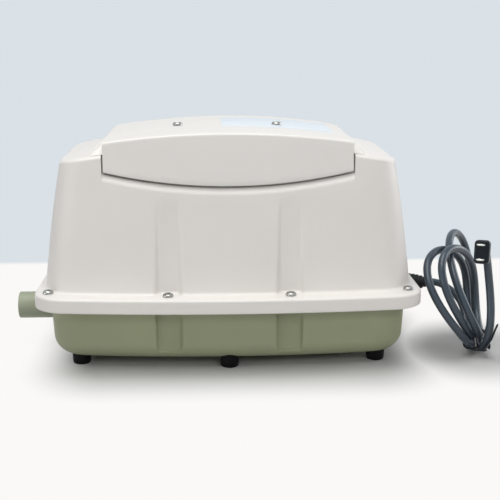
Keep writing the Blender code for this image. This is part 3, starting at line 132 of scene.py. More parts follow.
def softened(corners: Sequence[Pair], radii: Sequence[float], steps: int = 4) -> list[Pair]:
    """A polyline with its inner corners rounded.

    Args:
        corners: Points of the polyline.
        radii: Radius at each inner corner.
        steps: Points at each rounded corner.

    Returns:
        The two ends, with the same number of points for each corner between them.
    """
    points = [corners[0]]
    for before, here, after, radius in zip(corners, corners[1:], corners[2:], radii):
        to_before = Vector(before) - Vector(here)
        to_after = Vector(after) - Vector(here)
        cut = min(radius * CORNER_CUT, to_before.length * LEG_SHARE, to_after.length * LEG_SHARE)
        start = Vector(here) + to_before.normalized() * cut
        end = Vector(here) + to_after.normalized() * cut
        for t in spread(0, 1, steps):
            spot = start * (1 - t) ** 2 + Vector(here) * 2 * t * (1 - t) + end * t * t
            points.append((spot.x, spot.y))
    return points + [corners[-1]]


class Skin:
    """Faces gathered as grids of points and welded into one mesh."""

    def __init__(self) -> None:
        """Start with no faces."""
        self.points: list[Spot] = []
        self.faces: list[tuple[int, ...]] = []

    def grid(self, rows: Rows, loop: bool = False,
             keep: Optional[Callable[[int, int], bool]] = None) -> None:
        """Add the faces between rows of points.

        Args:
            rows: Rows with the same number of points each.
            loop: Whether each row closes on itself.
            keep: Says by row and column whether a face is wanted.
        """
        start, width = len(self.points), len(rows[0])
        for row in rows:
            self.points.extend(tuple(p) for p in row)
        for r in range(len(rows) - 1):
            for c in range(width if loop else width - 1):
                if keep is None or keep(r, c):
                    here, there = start + r * width, start + (r + 1) * width
                    d = (c + 1) % width
                    self.faces.append((here + c, here + d, there + d, there + c))

    def cap(self, loop: Sequence[Sequence[float]]) -> None:
        """Close a mirror-like loop of points with strips between its two halves."""
        half = len(loop) // 2
        self.grid([loop[:half], list(reversed(loop))[:half]])

    def disc(self, loop: Sequence[Sequence[float]]) -> None:
        """Close a round loop of points with one face."""
        start = len(self.points)
        self.points.extend(tuple(p) for p in loop)
        self.faces.append(tuple(range(start, start + len(loop))))

    def tube(self, rows: Rows) -> None:
        """Add rows that close on themselves, with a face over each end.

        Args:
            rows: Rows with the same number of points each.
        """
        self.grid(rows, loop=True)
        self.disc(rows[0])
        self.disc(rows[-1])

    def turned(self, profile: Sequence[Pair], base: Matrix, steps: int) -> None:
        """Add a turned shape.

        Args:
            profile: Pairs of radius and height along the turning axis.
            base: Frame whose Z is the turning axis.
            steps: Points around.
        """
        circle = around(steps)
        rows = [[base @ Vector((r * c, r * s, height)) for c, s in circle] for r, height in profile]
        self.grid(rows, loop=True)

    def mirrored(self) -> None:
        """Add the back half as the front half's mirror image."""
        count = len(self.points)
        self.points += [(x, -y, z) for x, y, z in self.points]
        self.faces += [tuple(count + i for i in reversed(face)) for face in self.faces]

    def mesh(self, crease: float = 35.0) -> Mesh:
        """Weld the faces into a mesh that is smooth between its creases.

        Args:
            crease: Least angle of a sharp edge, in degrees.

        Returns:
            A mesh whose faces point outwards.
        """
        made = bpy.data.meshes.new("skin")
        made.from_pydata(self.points, [], self.faces)
        bm = bmesh.new()
        bm.from_mesh(made)
        bmesh.ops.remove_doubles(bm, verts=bm.verts, dist=WELD)
        bmesh.ops.dissolve_degenerate(bm, edges=bm.edges, dist=SLIVER)
        bmesh.ops.recalc_face_normals(bm, faces=bm.faces)
        bm.to_mesh(made)
        bm.free()
        made.shade_smooth()
        made.set_sharp_from_angle(angle=math.radians(crease))
        return made


class Web:
    """A node tree that is filled by naming the inputs of its nodes."""

    def __init__(self, tree: bpy.types.NodeTree, prefix: str = "ShaderNode") -> None:
        """Hold the tree, and the words that the types of its nodes start with."""
        self.tree, self.prefix = tree, prefix

    def fill(self, node: bpy.types.Node, inputs: dict) -> bpy.types.Node:
        """Link a node's inputs, or give them constants.

        Args:
            node: The node.
            inputs: Socket or constant of each input, by its name or place.

        Returns:
            The same node.
        """
        for key, value in inputs.items():
            if isinstance(value, Socket):
                self.tree.links.new(value, node.inputs[key])
            else:
                node.inputs[key].default_value = value
        return node

    def add(self, kind: str, inputs: dict, **choices: str) -> bpy.types.Node:
        """Add a node.

        Args:
            kind: Its type, after the tree's prefix.
            inputs: Socket or constant of each input, by its name or place.
            **choices: Its settings.

        Returns:
            The new node.
        """
        made = self.tree.nodes.new(self.prefix + kind)
        for name, choice in choices.items():
            setattr(made, name, choice)
        return self.fill(made, inputs)

    def where(self) -> Socket:
        """Object coordinates."""
        return self.add("TexCoord", {}).outputs["Object"]

    def noise(self, where: Socket, size: float, detail: float) -> Socket:
        """A noise with patches of a size in metres, and octaves of finer noise."""
        return self.add("TexNoise", {"Scale": 1 / size, "Detail": detail, "Vector": where}).outputs["Fac"]

    def carried(self, value: Socket, given: Pair, wanted: Pair, curve: str = "LINEAR") -> Socket:
        """A value carried from the given range to the wanted one, on a straight or smooth curve."""
        limits = dict(zip(("From Min", "From Max", "To Min", "To Max"), (*given, *wanted)))
        return self.add("MapRange", {"Value": value, **limits}, interpolation_type=curve).outputs["Result"]

    def mixed(self, share: Socket, first: Socket | Sequence[float], second: Sequence[float]) -> Socket:
        """One colour run into another. Colours are inputs 6 and 7 of their node, and its output 2."""
        start = first if isinstance(first, Socket) else (*first, 1)
        return self.add("Mix", {0: share, 6: start, 7: (*second, 1)}, data_type="RGBA").outputs[2]

    def shaders(self, share: Socket, first: Socket, second: Socket) -> Socket:
        """One shader run into another by a share."""
        return self.add("MixShader", {0: share, 1: first, 2: second}).outputs[0]

    def worked(self, operation: str, first: Socket, second: Socket | float) -> Socket:
        """The result of one operation on two values."""
        return self.add("Math", {0: first, 1: second}, operation=operation).outputs[0]

    def length_after(self, start: Socket, steps: Sequence[tuple[str, Optional[Spot]]]) -> Socket:
        """A vector's length after some operations on it.

        Args:
            start: Socket with the vector.
            steps: Each operation, with its second vector if it has one.

        Returns:
            The socket with the length.
        """
        vector = start
        for operation, second in steps:
            inputs = {0: vector} if second is None else {0: vector, 1: second}
            vector = self.add("VectorMath", inputs, operation=operation).outputs["Vector"]
        return self.add("VectorMath", {0: vector}, operation="LENGTH").outputs["Value"]

    def looked_at(self) -> Socket:
        """Whether a ray comes from the camera, straight or by way of gloss or glass.

        Returns:
            A socket that is 1 for such rays.
        """
        path = self.add("LightPath", {}).outputs
        seen = path["Is Camera Ray"]
        for name in ("Is Glossy Ray", "Is Transmission Ray"):
            seen = self.worked("MAXIMUM", seen, path[name])
        return seen


class Grain(Enum):
    """Kinds of fine surface."""

    MOULDED = "moulded"
    PEEL = "peel"
    RUBBERY = "rubbery"
    DRAWN = "drawn"
    CAST = "cast"
    LAMINATED = "laminated"
    WOUND = "wound"
    CELLS = "cells"


@dataclass(frozen=True)
class Finish:
    """A surface finish: its colour, gloss and fine relief, made as a node material."""

    name: str
    slot: str
    colour: Colour
    roughness: float
    metallic: float = 0.0
    grain: Grain = Grain.MOULDED
    grain_size: float = 0.0009
    relief: float = 0.00002
    mottle: float = 0.03
    mottle_size: float = 0.03
    soil: Optional[Colour] = None
    soil_share: float = 0.0
    gloss_change: float = 0.05
    specular: float = 0.5

    PATCHES = (0.3, 0.7)
    STAINS = (0.5, 0.75)
    STAIN_SIZE = 2.7
    GLOSS_SIZE = 0.35
    # Colour kept in the relief's grooves and pores: painted shade, which on the laminated core also marks the
    # joints between its sheets.
    PAINTED_GROOVE_SHADE = 0.45
    BAND_SCALE = 0.31
    BAND_WAVER = 0.4
    BAND_GROOVE = ((0.0, 0.35), (0.7, 0.0))
    CELL_GROOVE = ((0.0, 0.45), (0.85, 0.0))
    STRETCHED = (0.05, 1.0, 1.0)
    DETAIL = {Grain.MOULDED: 3.0, Grain.PEEL: 0.5, Grain.RUBBERY: 5.0, Grain.CAST: 8.0, Grain.DRAWN: 4.0}

    def material(self) -> bpy.types.Material:
        """The finish as a material, made once.

        Returns:
            A node material that reads Object coordinates.
        """
        made = bpy.data.materials.get(self.name)
        if made is not None:
            return made
        made = bpy.data.materials.new(self.name)
        made.use_nodes = True
        web = Web(made.node_tree)
        where = web.where()
        patches = web.carried(web.noise(where, self.mottle_size, detail=3.0), self.PATCHES, (0.0, 1.0))
        tone = web.mixed(patches, [c * (1 - self.mottle) for c in self.colour],
                         [min(c * (1 + self.mottle), 1.0) for c in self.colour])
        if self.soil is not None:
            stains = web.noise(where, self.mottle_size * self.STAIN_SIZE, detail=6.0)
            tone = web.mixed(web.carried(stains, self.STAINS, (0.0, self.soil_share)), tone, self.soil)
        relief, groove_shade = self._relief(web, where)
        # Painted shade: the colour is darkened in the grooves and pores of the relief.
        if groove_shade is not None:
            tone = web.mixed(groove_shade, tone, [c * self.PAINTED_GROOVE_SHADE for c in self.colour])
        gloss = (self.roughness - self.gloss_change, self.roughness + self.gloss_change)
        sheen = web.noise(where, self.mottle_size * self.GLOSS_SIZE, detail=5.0)
        rough = web.carried(sheen, self.PATCHES, gloss)
        bump = web.add("Bump", {"Strength": 1.0, "Distance": self.relief, "Height": relief})
        web.fill(made.node_tree.nodes["Principled BSDF"], {
            "Base Color": tone, "Roughness": rough, "Normal": bump.outputs["Normal"],
            "Metallic": self.metallic, "Specular IOR Level": self.specular})
        return made

    def _relief(self, web: Web, where: Socket) -> tuple[Socket, Optional[Socket]]:
        """The finish's fine relief.

        Args:
            web: The material's node tree.
            where: Coordinates.

        Returns:
            The relief's height, and a share of painted shade in its grooves and pores where the relief has them.
        """
        if self.grain in (Grain.LAMINATED, Grain.WOUND):
            inputs = {"Vector": where, "Scale": self.BAND_SCALE / self.grain_size, "Detail": 1.0,
                      "Distortion": self.BAND_WAVER}
            direction = "Z" if self.grain is Grain.LAMINATED else "Y"
            height = web.add("TexWave", inputs, bands_direction=direction).outputs["Fac"]
            return height, web.carried(height, *self.BAND_GROOVE)
        if self.grain is Grain.CELLS:
            cells = web.add("TexVoronoi", {"Scale": 1 / self.grain_size, "Vector": where})
            height = cells.outputs["Distance"]
            return height, web.carried(height, *self.CELL_GROOVE)
        if self.grain is Grain.DRAWN:
            where = web.add("Mapping", {"Scale": self.STRETCHED, "Vector": where}).outputs["Vector"]
        return web.noise(where, self.grain_size, self.DETAIL[self.grain]), None


WHITE_ABS = Finish(
    "white_moulded_abs", "white_shell", (0.80, 0.772, 0.747), 0.42, relief=0.000012,
    mottle=0.012, mottle_size=0.06, soil=(0.74, 0.70, 0.63), soil_share=0.10)
LID_ABS = Finish(
    "lid_moulded_abs", "white_shell", (0.80, 0.780, 0.752), 0.42, relief=0.000012,
    mottle=0.012, mottle_size=0.07, soil=(0.75, 0.71, 0.65), soil_share=0.08)
OLIVE_PAINT = Finish(
    "olive_painted_tank", "olive_shell", (0.338, 0.363, 0.228), 0.5, grain=Grain.PEEL, grain_size=0.0016,
    relief=0.00003, mottle=0.035, mottle_size=0.05, soil=(0.29, 0.305, 0.19), soil_share=0.25)
# The pipe's olive is paler and greyer than the pan's: painted light, a lit copy of the same olive.
OLIVE_PIPE_LIT_COPY = Finish(
    "olive_pipe_lit_copy", "olive_shell", (0.338, 0.369, 0.267), 0.46, grain=Grain.PEEL, grain_size=0.0012,
    mottle_size=0.02, soil=(0.30, 0.32, 0.22), soil_share=0.2)
FOOT_RUBBER = Finish(
    "black_foot_rubber", "rubber", (0.005, 0.005, 0.006), 0.6, grain=Grain.RUBBERY, mottle=0.2,
    mottle_size=0.006, soil=(0.014, 0.013, 0.012), soil_share=0.3, specular=0.12)
INNER_RUBBER = Finish(
    "black_inner_rubber", "rubber", (0.012, 0.012, 0.014), 0.6, grain=Grain.RUBBERY, mottle=0.15,
    mottle_size=0.008, specular=0.3)
SCREW_STEEL = Finish(
    "zinc_screw_steel", "steel", (0.42, 0.41, 0.39), 0.24, 1.0, Grain.CAST, grain_size=0.0006,
    relief=0.000008, mottle=0.10, mottle_size=0.003, soil=(0.16, 0.15, 0.13), soil_share=0.5)
ROD_STEEL = Finish(
    "drawn_rod_steel", "steel", (0.60, 0.60, 0.61), 0.3, 1.0, Grain.DRAWN, grain_size=0.0008,
    relief=0.000012, mottle=0.05)
CAST_ALUMINIUM = Finish(
    "cast_aluminium", "aluminium", (0.62, 0.63, 0.64), 0.5, 1.0, Grain.CAST, grain_size=0.0022,
    relief=0.00006, mottle=0.06, mottle_size=0.012)
CORE_STACK = Finish(
    "laminated_core_steel", "core_steel", (0.24, 0.25, 0.27), 0.45, 1.0, Grain.LAMINATED, grain_size=0.0012,
    relief=0.0001, mottle=0.08)
COIL_WIRE = Finish(
    "enamelled_copper_winding", "copper", (0.55, 0.22, 0.09), 0.34, 0.85, Grain.WOUND, grain_size=0.0011,
    relief=0.0002, mottle=0.08)
MAGNET_BLOCK = Finish(
    "sintered_ferrite", "ferrite", (0.055, 0.055, 0.06), 0.55, grain=Grain.CAST, grain_size=0.0012,
    relief=0.00004, mottle=0.15, mottle_size=0.004)
FILTER_FOAM = Finish(
    "open_cell_foam", "foam", (0.085, 0.09, 0.10), 0.95, grain=Grain.CELLS, grain_size=0.0016,
    relief=0.0006, mottle=0.12, mottle_size=0.02, specular=0.2)
BLACK_NYLON = Finish(
    "black_moulded_nylon", "black_plastic", (0.005, 0.009, 0.014), 0.36, mottle=0.12, mottle_size=0.01,
    specular=0.26)
CORD_PVC = Finish(
    "grey_cord_pvc", "grey_cord", (0.040, 0.057, 0.078), 0.30, grain=Grain.RUBBERY, grain_size=0.0016,
    relief=0.000006, mottle=0.04, mottle_size=0.02, soil=(0.040, 0.055, 0.074), soil_share=0.3,
    gloss_change=0.02)
BLADE_NICKEL = Finish(
    "nickel_blade", "brass", (0.80, 0.79, 0.74), 0.22, 1.0, Grain.DRAWN, grain_size=0.0006, relief=0.000008)
LABEL_FILM = Finish(
    "pale_blue_label_film", "white_shell", (0.72, 0.785, 0.845), 0.5, relief=0.000006, mottle=0.02,
    mottle_size=0.02)

CARRIED_OVER: dict[str, Finish] = {
    "base_gasket": INNER_RUBBER, "tank_lid": CAST_ALUMINIUM, "vibration_mount": INNER_RUBBER,
    "drive_frame": CAST_ALUMINIUM, "core": CORE_STACK, "coil": COIL_WIRE, "magnet": MAGNET_BLOCK,
    "armature_rod": ROD_STEEL, "diaphragm_plate": CAST_ALUMINIUM, "rod_nut": ROD_STEEL,
    "pump_head": CAST_ALUMINIUM, "head_cover": CAST_ALUMINIUM, "intake_flap": INNER_RUBBER,
    "discharge_flap": INNER_RUBBER, "outlet_sleeve": INNER_RUBBER, "terminal_block": BLACK_NYLON,
}


class Body(Enum):
    """Moving bodies of the CAD that scene pieces ride on."""

    PUMP = "pump"
    ARMATURE = "armature"
    LID = "lid"
    FILTER = "filter"


@dataclass(frozen=True)
class Housing:
    """Sizes that the cover, the lid and the base share."""

    middle_x: float = 0.014
    flange_length: float = 0.356
    flange_depth: float = 0.210
    flange_corner: float = 0.028
    flange_top: float = 0.0734
    flange_plate: float = 0.0042
    skirt_height: float = 0.0132
    skirt_wall: float = 0.003
    base_low: float = 0.0087
    base_top: float = 0.0666
    base_flange: float = 0.0059
    side_bow: float = 0.011
    cover_crest: float = 0.2069
    lid_crest: float = 0.2188
    top_arch_radius: float = 0.794
    lid_arch_radius: float = 0.735
    foot_length: float = 0.341
    foot_depth: float = 0.175
    foot_corner: float = 0.030
    top_length: float = 0.3052
    top_depth: float = 0.1624
    top_corner: float = 0.022
    swell: float = 0.0013
    apron_length: float = 0.223
    apron_drop: float = 0.0468
    apron_arc_radius: float = 0.530
    screw_x: float = 0.0554
    boss_x: float = 0.0473
    flute_width: float = 0.0255
    flute_blend: float = 0.0015
    flute_zone: float = 0.019
    flute_columns: int = 39

    def cover_arch(self, x: float) -> float:
        """Height of the cover's shoulders and deck at x."""
        return self.cover_crest - fall(x, self.top_arch_radius)

    def lid_arch(self, x: float) -> float:
        """Height of the lid's top at x."""
        return self.lid_crest - fall(x, self.lid_arch_radius)

    def apron_low(self, x: float) -> float:
        """Height of the apron's lower edge at x."""
        return self.lid_crest - self.apron_drop + fall(x, self.apron_arc_radius)

    def cover_half(self, z: float) -> tuple[float, float, float]:
        """The cover's outside at a height.

        Args:
            z: Height.

        Returns:
            Half length, half depth and corner radius.
        """
        shoulder = self.cover_arch(self.top_length / 2)
        rise = shoulder - self.flange_top
        t = (min(z, shoulder) - self.flange_top) / rise
        drawn_x, drawn_y = self.top_length - self.foot_length, self.top_depth - self.foot_depth
        half_x = (self.foot_length + drawn_x * t) / 2 + self.swell * 4 * t * (1 - t)
        half_y = (self.foot_depth + drawn_y * t) / 2 + max(0.0, z - shoulder) * drawn_y / 2 / rise
        return half_x, half_y, self.foot_corner + (self.top_corner - self.foot_corner) * t

    def cover_wall_y(self, x: float, z: float) -> float:
        """Distance of the cover's plain front from the middle plane, at x and a height."""
        half_x, half_y, _ = self.cover_half(z)
        return half_y - self.side_bow * (x / half_x) ** 2

    def flute_marks(self) -> set[float]:
        """Places of columns across the right flute, close together."""
        return set(spread(self.screw_x - self.flute_zone, self.screw_x + self.flute_zone, self.flute_columns))

    def fluted(self, x: float, y: float, floor: float, depth: float, slope: float) -> float:
        """A wall's distance from the middle plane, with the two flutes pressed in.

        Args:
            x: Place along the front.
            y: Distance of the plain wall.
            floor: Distance of the flutes' floor.
            depth: Depth of the flutes at their foot.
            slope: Run of the flutes' sides for each unit of depth.

        Returns:
            The distance of the fluted wall.
        """
        half_floor = self.flute_width / 2 - depth * slope
        side = max(0.0, abs(abs(x) - self.screw_x) - half_floor) / slope
        return soft_min(y, floor + side, self.flute_blend)


HOUSING = Housing()


class Stretch(Enum):
    """Stretches of a plan outline, from the middle of an end to the middle of the front."""

    END = "end"
    CORNER = "corner"
    FRONT = "front"


@dataclass(frozen=True)
class Column:
    """A place on every plan outline of a shell: on an end, a corner or the front."""

    stretch: Stretch
    side: int
    share: float
    pocket: bool = False

    FIXED_X = 0.1155
    FAR_SHARES = (0.3, 0.65)
    CORNER_COLUMNS = 13

    def place(self, half_x: float, half_y: float, corner: float) -> Pair:
        """The column's place on one outline.

        Args:
            half_x: Half length of the outline.
            half_y: Half depth at the middle of its front.
            corner: Corner radius.

        Returns:
            X, and Y on the front side.
        """
        if self.stretch is Stretch.END:
            x, y = half_x, (half_y - corner) * self.share
        elif self.stretch is Stretch.CORNER:
            angle = self.share * math.pi / 2
            x = half_x - corner + corner * math.cos(angle)
            y = half_y - corner + corner * math.sin(angle)
        else:
            x, y = self.share, half_y
            if self.share > self.FIXED_X:
                x = self.FIXED_X + (half_x - corner - self.FIXED_X) * (self.share - self.FIXED_X)
        return self.side * x, -y * (1 - HOUSING.side_bow / half_y * (x / half_x) ** 2)

    def at(self, half_x: float, half_y: float, corner: float, z: float) -> Vector:
        """The column's point at a height, on an outline given as in place."""
        return Vector((*self.place(half_x, half_y, corner), z))

    def on_flange(self, inset: float, z: float) -> Vector:
        """The column's point at a height, an inset inside the flange's outline."""
        sizes = (HOUSING.flange_length / 2, HOUSING.flange_depth / 2, HOUSING.flange_corner)
        return self.at(*(size - inset for size in sizes), z)

    @staticmethod
    def row(marks: Iterable[float], pocket_half: float = 0.0, end_steps: int = 5) -> list["Column"]:
        """Columns from the middle of the left end, along the front, to the middle of the right end.

        Args:
            marks: Places along the right half of the front, up to FIXED_X.
            pocket_half: Half length of a pocket, whose columns are doubled at its ends.
            end_steps: Columns on half an end.

        Returns:
            The columns in order.
        """
        half = [Column(Stretch.FRONT, 1, x, pocket_half > 0 and x < pocket_half) for x in sorted(marks)]
        half += [Column(Stretch.FRONT, 1, Column.FIXED_X + t) for t in Column.FAR_SHARES]
        half += [Column(Stretch.CORNER, 1, t) for t in reversed(spread(0, 1, Column.CORNER_COLUMNS))]
        half += [Column(Stretch.END, 1, t) for t in reversed(spread(0, 1, end_steps)[:-1])]
        beside = [c for c in half if c.share or c.stretch is not Stretch.FRONT]
        return [Column(c.stretch, -1, c.share, c.pocket) for c in reversed(beside)] + half


def stand(name: str, data: bpy.types.ID) -> Object:
    """A new object in the scene.

    Args:
        name: Its name.
        data: Its mesh, curve, lamp or camera.

    Returns:
        The object.
    """
    made = bpy.data.objects.new(name, data)
    bpy.context.scene.collection.objects.link(made)
    return made


def add_piece(name: str, shape: Mesh | bpy.types.Curve, finish: Finish, body: Optional[Body],
              stands_for: Sequence[str] = (), placed: bool = False) -> Object:
    """Put a shape in the scene as a piece, riding on a body if one is given.

    Args:
        name: Name of the piece.
        shape: Its mesh or curve, in the housing's own frame unless placed.
        finish: Its finish.
        body: The body that it moves with, or None for a piece that is blended afterwards.
        stands_for: CAD nodes that it replaces.
        placed: Whether the shape is in the CAD's frame already.

    Returns:
        The new object.
    """
    if not placed:
        shape.transform(Matrix.Translation((HOUSING.middle_x, 0, 0)))
    shape.name = name
    shape.materials.clear()
    shape.materials.append(finish.material())
    made = stand(name, shape)
    if body is not None:
        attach(made, body.value)
    if stands_for:
        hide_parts(*stands_for)
    LOG.info("%s: on %s, %s", name, body.value if body else "two bodies", finish.name)
    return made


class SeatedCopies:
    """A Geometry Nodes tree that seats copies of one shape on points, each with its own size and turn."""

    NAME = "seated_copies"

    def __init__(self) -> None:
        """Build the tree once."""
        self.tree = bpy.data.node_groups.get(self.NAME) or self._build()

    def _build(self) -> bpy.types.NodeTree:
        """Wire the tree.

        Returns:
            The node tree, with named inputs for the shape, the turn, its seed and the finish.
        """
        tree = bpy.data.node_groups.new(self.NAME, "GeometryNodeTree")
        for name, kind in (("Seats", "Geometry"), ("Shape", "Object"), ("Most Turn", "Vector"),
                           ("Turn Seed", "Int"), ("Finish", "Material")):
            tree.interface.new_socket(name, in_out="INPUT", socket_type="NodeSocket" + kind)
        tree.interface.new_socket("Copies", in_out="OUTPUT", socket_type="NodeSocketGeometry")
        web = Web(tree, prefix="")
        given = web.add("NodeGroupInput", {}).outputs
        seats = web.add("GeometryNodeMeshToPoints", {"Mesh": given["Seats"]})
        shape = web.add("GeometryNodeObjectInfo", {"Object": given["Shape"]})
        size = web.add("GeometryNodeInputNamedAttribute", {"Name": "size"}, data_type="FLOAT_VECTOR")
        turn = web.add("FunctionNodeRandomValue", {1: given["Most Turn"], "Seed": given["Turn Seed"]},
                       data_type="FLOAT_VECTOR")
        as_turn = web.add("FunctionNodeEulerToRotation", {0: turn.outputs[0]})
        copies = web.add("GeometryNodeInstanceOnPoints", {
            "Points": seats.outputs["Points"], "Instance": shape.outputs["Geometry"],
            "Rotation": as_turn.outputs[0], "Scale": size.outputs[0]})
        plain = web.add("GeometryNodeRealizeInstances", {"Geometry": copies.outputs["Instances"]})
        inputs = {"Geometry": plain.outputs["Geometry"], "Material": given["Finish"]}
        dressed = web.add("GeometryNodeSetMaterial", inputs)
        web.add("NodeGroupOutput", {"Copies": dressed.outputs["Geometry"]})
        return tree

    def mesh(self, shape: Mesh, finish: Finish, seats: Sequence[Spot],
             sizes: Optional[Sequence[Spot]] = None, most_turn: Spot = (0, 0, 0), seed: int = 0) -> Mesh:
        """Seat the copies and turn them into a plain mesh.

        Args:
            shape: The shape that is copied, about its own seat.
            finish: Finish of all copies.
            seats: Points that it is seated on.
            sizes: Size of each copy along X, Y and Z, or 1 where left out.
            most_turn: Greatest turn of a copy about each axis, in radians.
            seed: Seed of the turns.

        Returns:
            One mesh of all copies.
        """
        holder_mesh = bpy.data.meshes.new("seats")
        holder_mesh.from_pydata(seats, [], [])
        own = holder_mesh.attributes.new("size", "FLOAT_VECTOR", "POINT")
        flat = [value for row in (sizes or [(1, 1, 1)] * len(seats)) for value in row]
        own.data.foreach_set("vector", flat)
        master, holder = stand("shape", shape), stand("seats", holder_mesh)
        step = holder.modifiers.new(self.NAME, "NODES")
        step.node_group = self.tree
        values = {"Shape": master, "Most Turn": most_turn, "Turn Seed": seed, "Finish": finish.material()}
        for socket in self.tree.interface.items_tree:
            if socket.name in values:
                step[socket.identifier] = values[socket.name]
        seen = holder.evaluated_get(bpy.context.evaluated_depsgraph_get())
        made = bpy.data.meshes.new_from_object(seen)
        holder.modifiers.clear()
        for item in (master, holder):
            bpy.data.objects.remove(item, do_unlink=True)
        for attribute in [a for a in made.attributes if a.name == "size"]:
            made.attributes.remove(attribute)
        return made


@dataclass(frozen=True)
class Lamp:
    """A soft rectangular lamp, which gloss need not show."""

    name: str
    place: Spot
    size: Pair
    power: float
    colour: Colour
    shines: bool = True

    def hang(self, aim: Spot) -> None:
        """Hang the lamp.

        Args:
            aim: Point that it faces.
        """
        light = bpy.data.lights.new(self.name, "AREA")
        light.shape = "RECTANGLE"
        light.size, light.size_y = self.size
        light.energy = self.power
        light.color = self.colour
        made = stand(self.name, light)
        made.location = self.place
        made.visible_glossy = self.shines
        made.rotation_euler = (Vector(aim) - Vector(self.place)).to_track_quat("-Z", "Y").to_euler()


LAMPS = (
    Lamp("key_softbox", (-0.14, -0.33, 1.40), (1.3, 1.1), power=17.4, colour=(0.99, 0.985, 0.965)),
    Lamp("front_softbox", (0.54, -1.20, 0.76), (1.0, 0.4), power=4.3, colour=(1.0, 0.99, 0.98), shines=False),
    Lamp("left_strip", (-1.25, -0.75, 0.20), (0.9, 0.24), power=2.6, colour=(1.0, 0.985, 0.97)),
    Lamp("right_strip", (1.30, 0.30, 0.40), (0.9, 0.5), power=5.0, colour=(1.0, 0.995, 0.99)),
    Lamp("back_strip", (-0.40, 1.40, 0.10), (1.2, 0.16), power=3.2, colour=(1.0, 0.99, 0.98), shines=False),
)


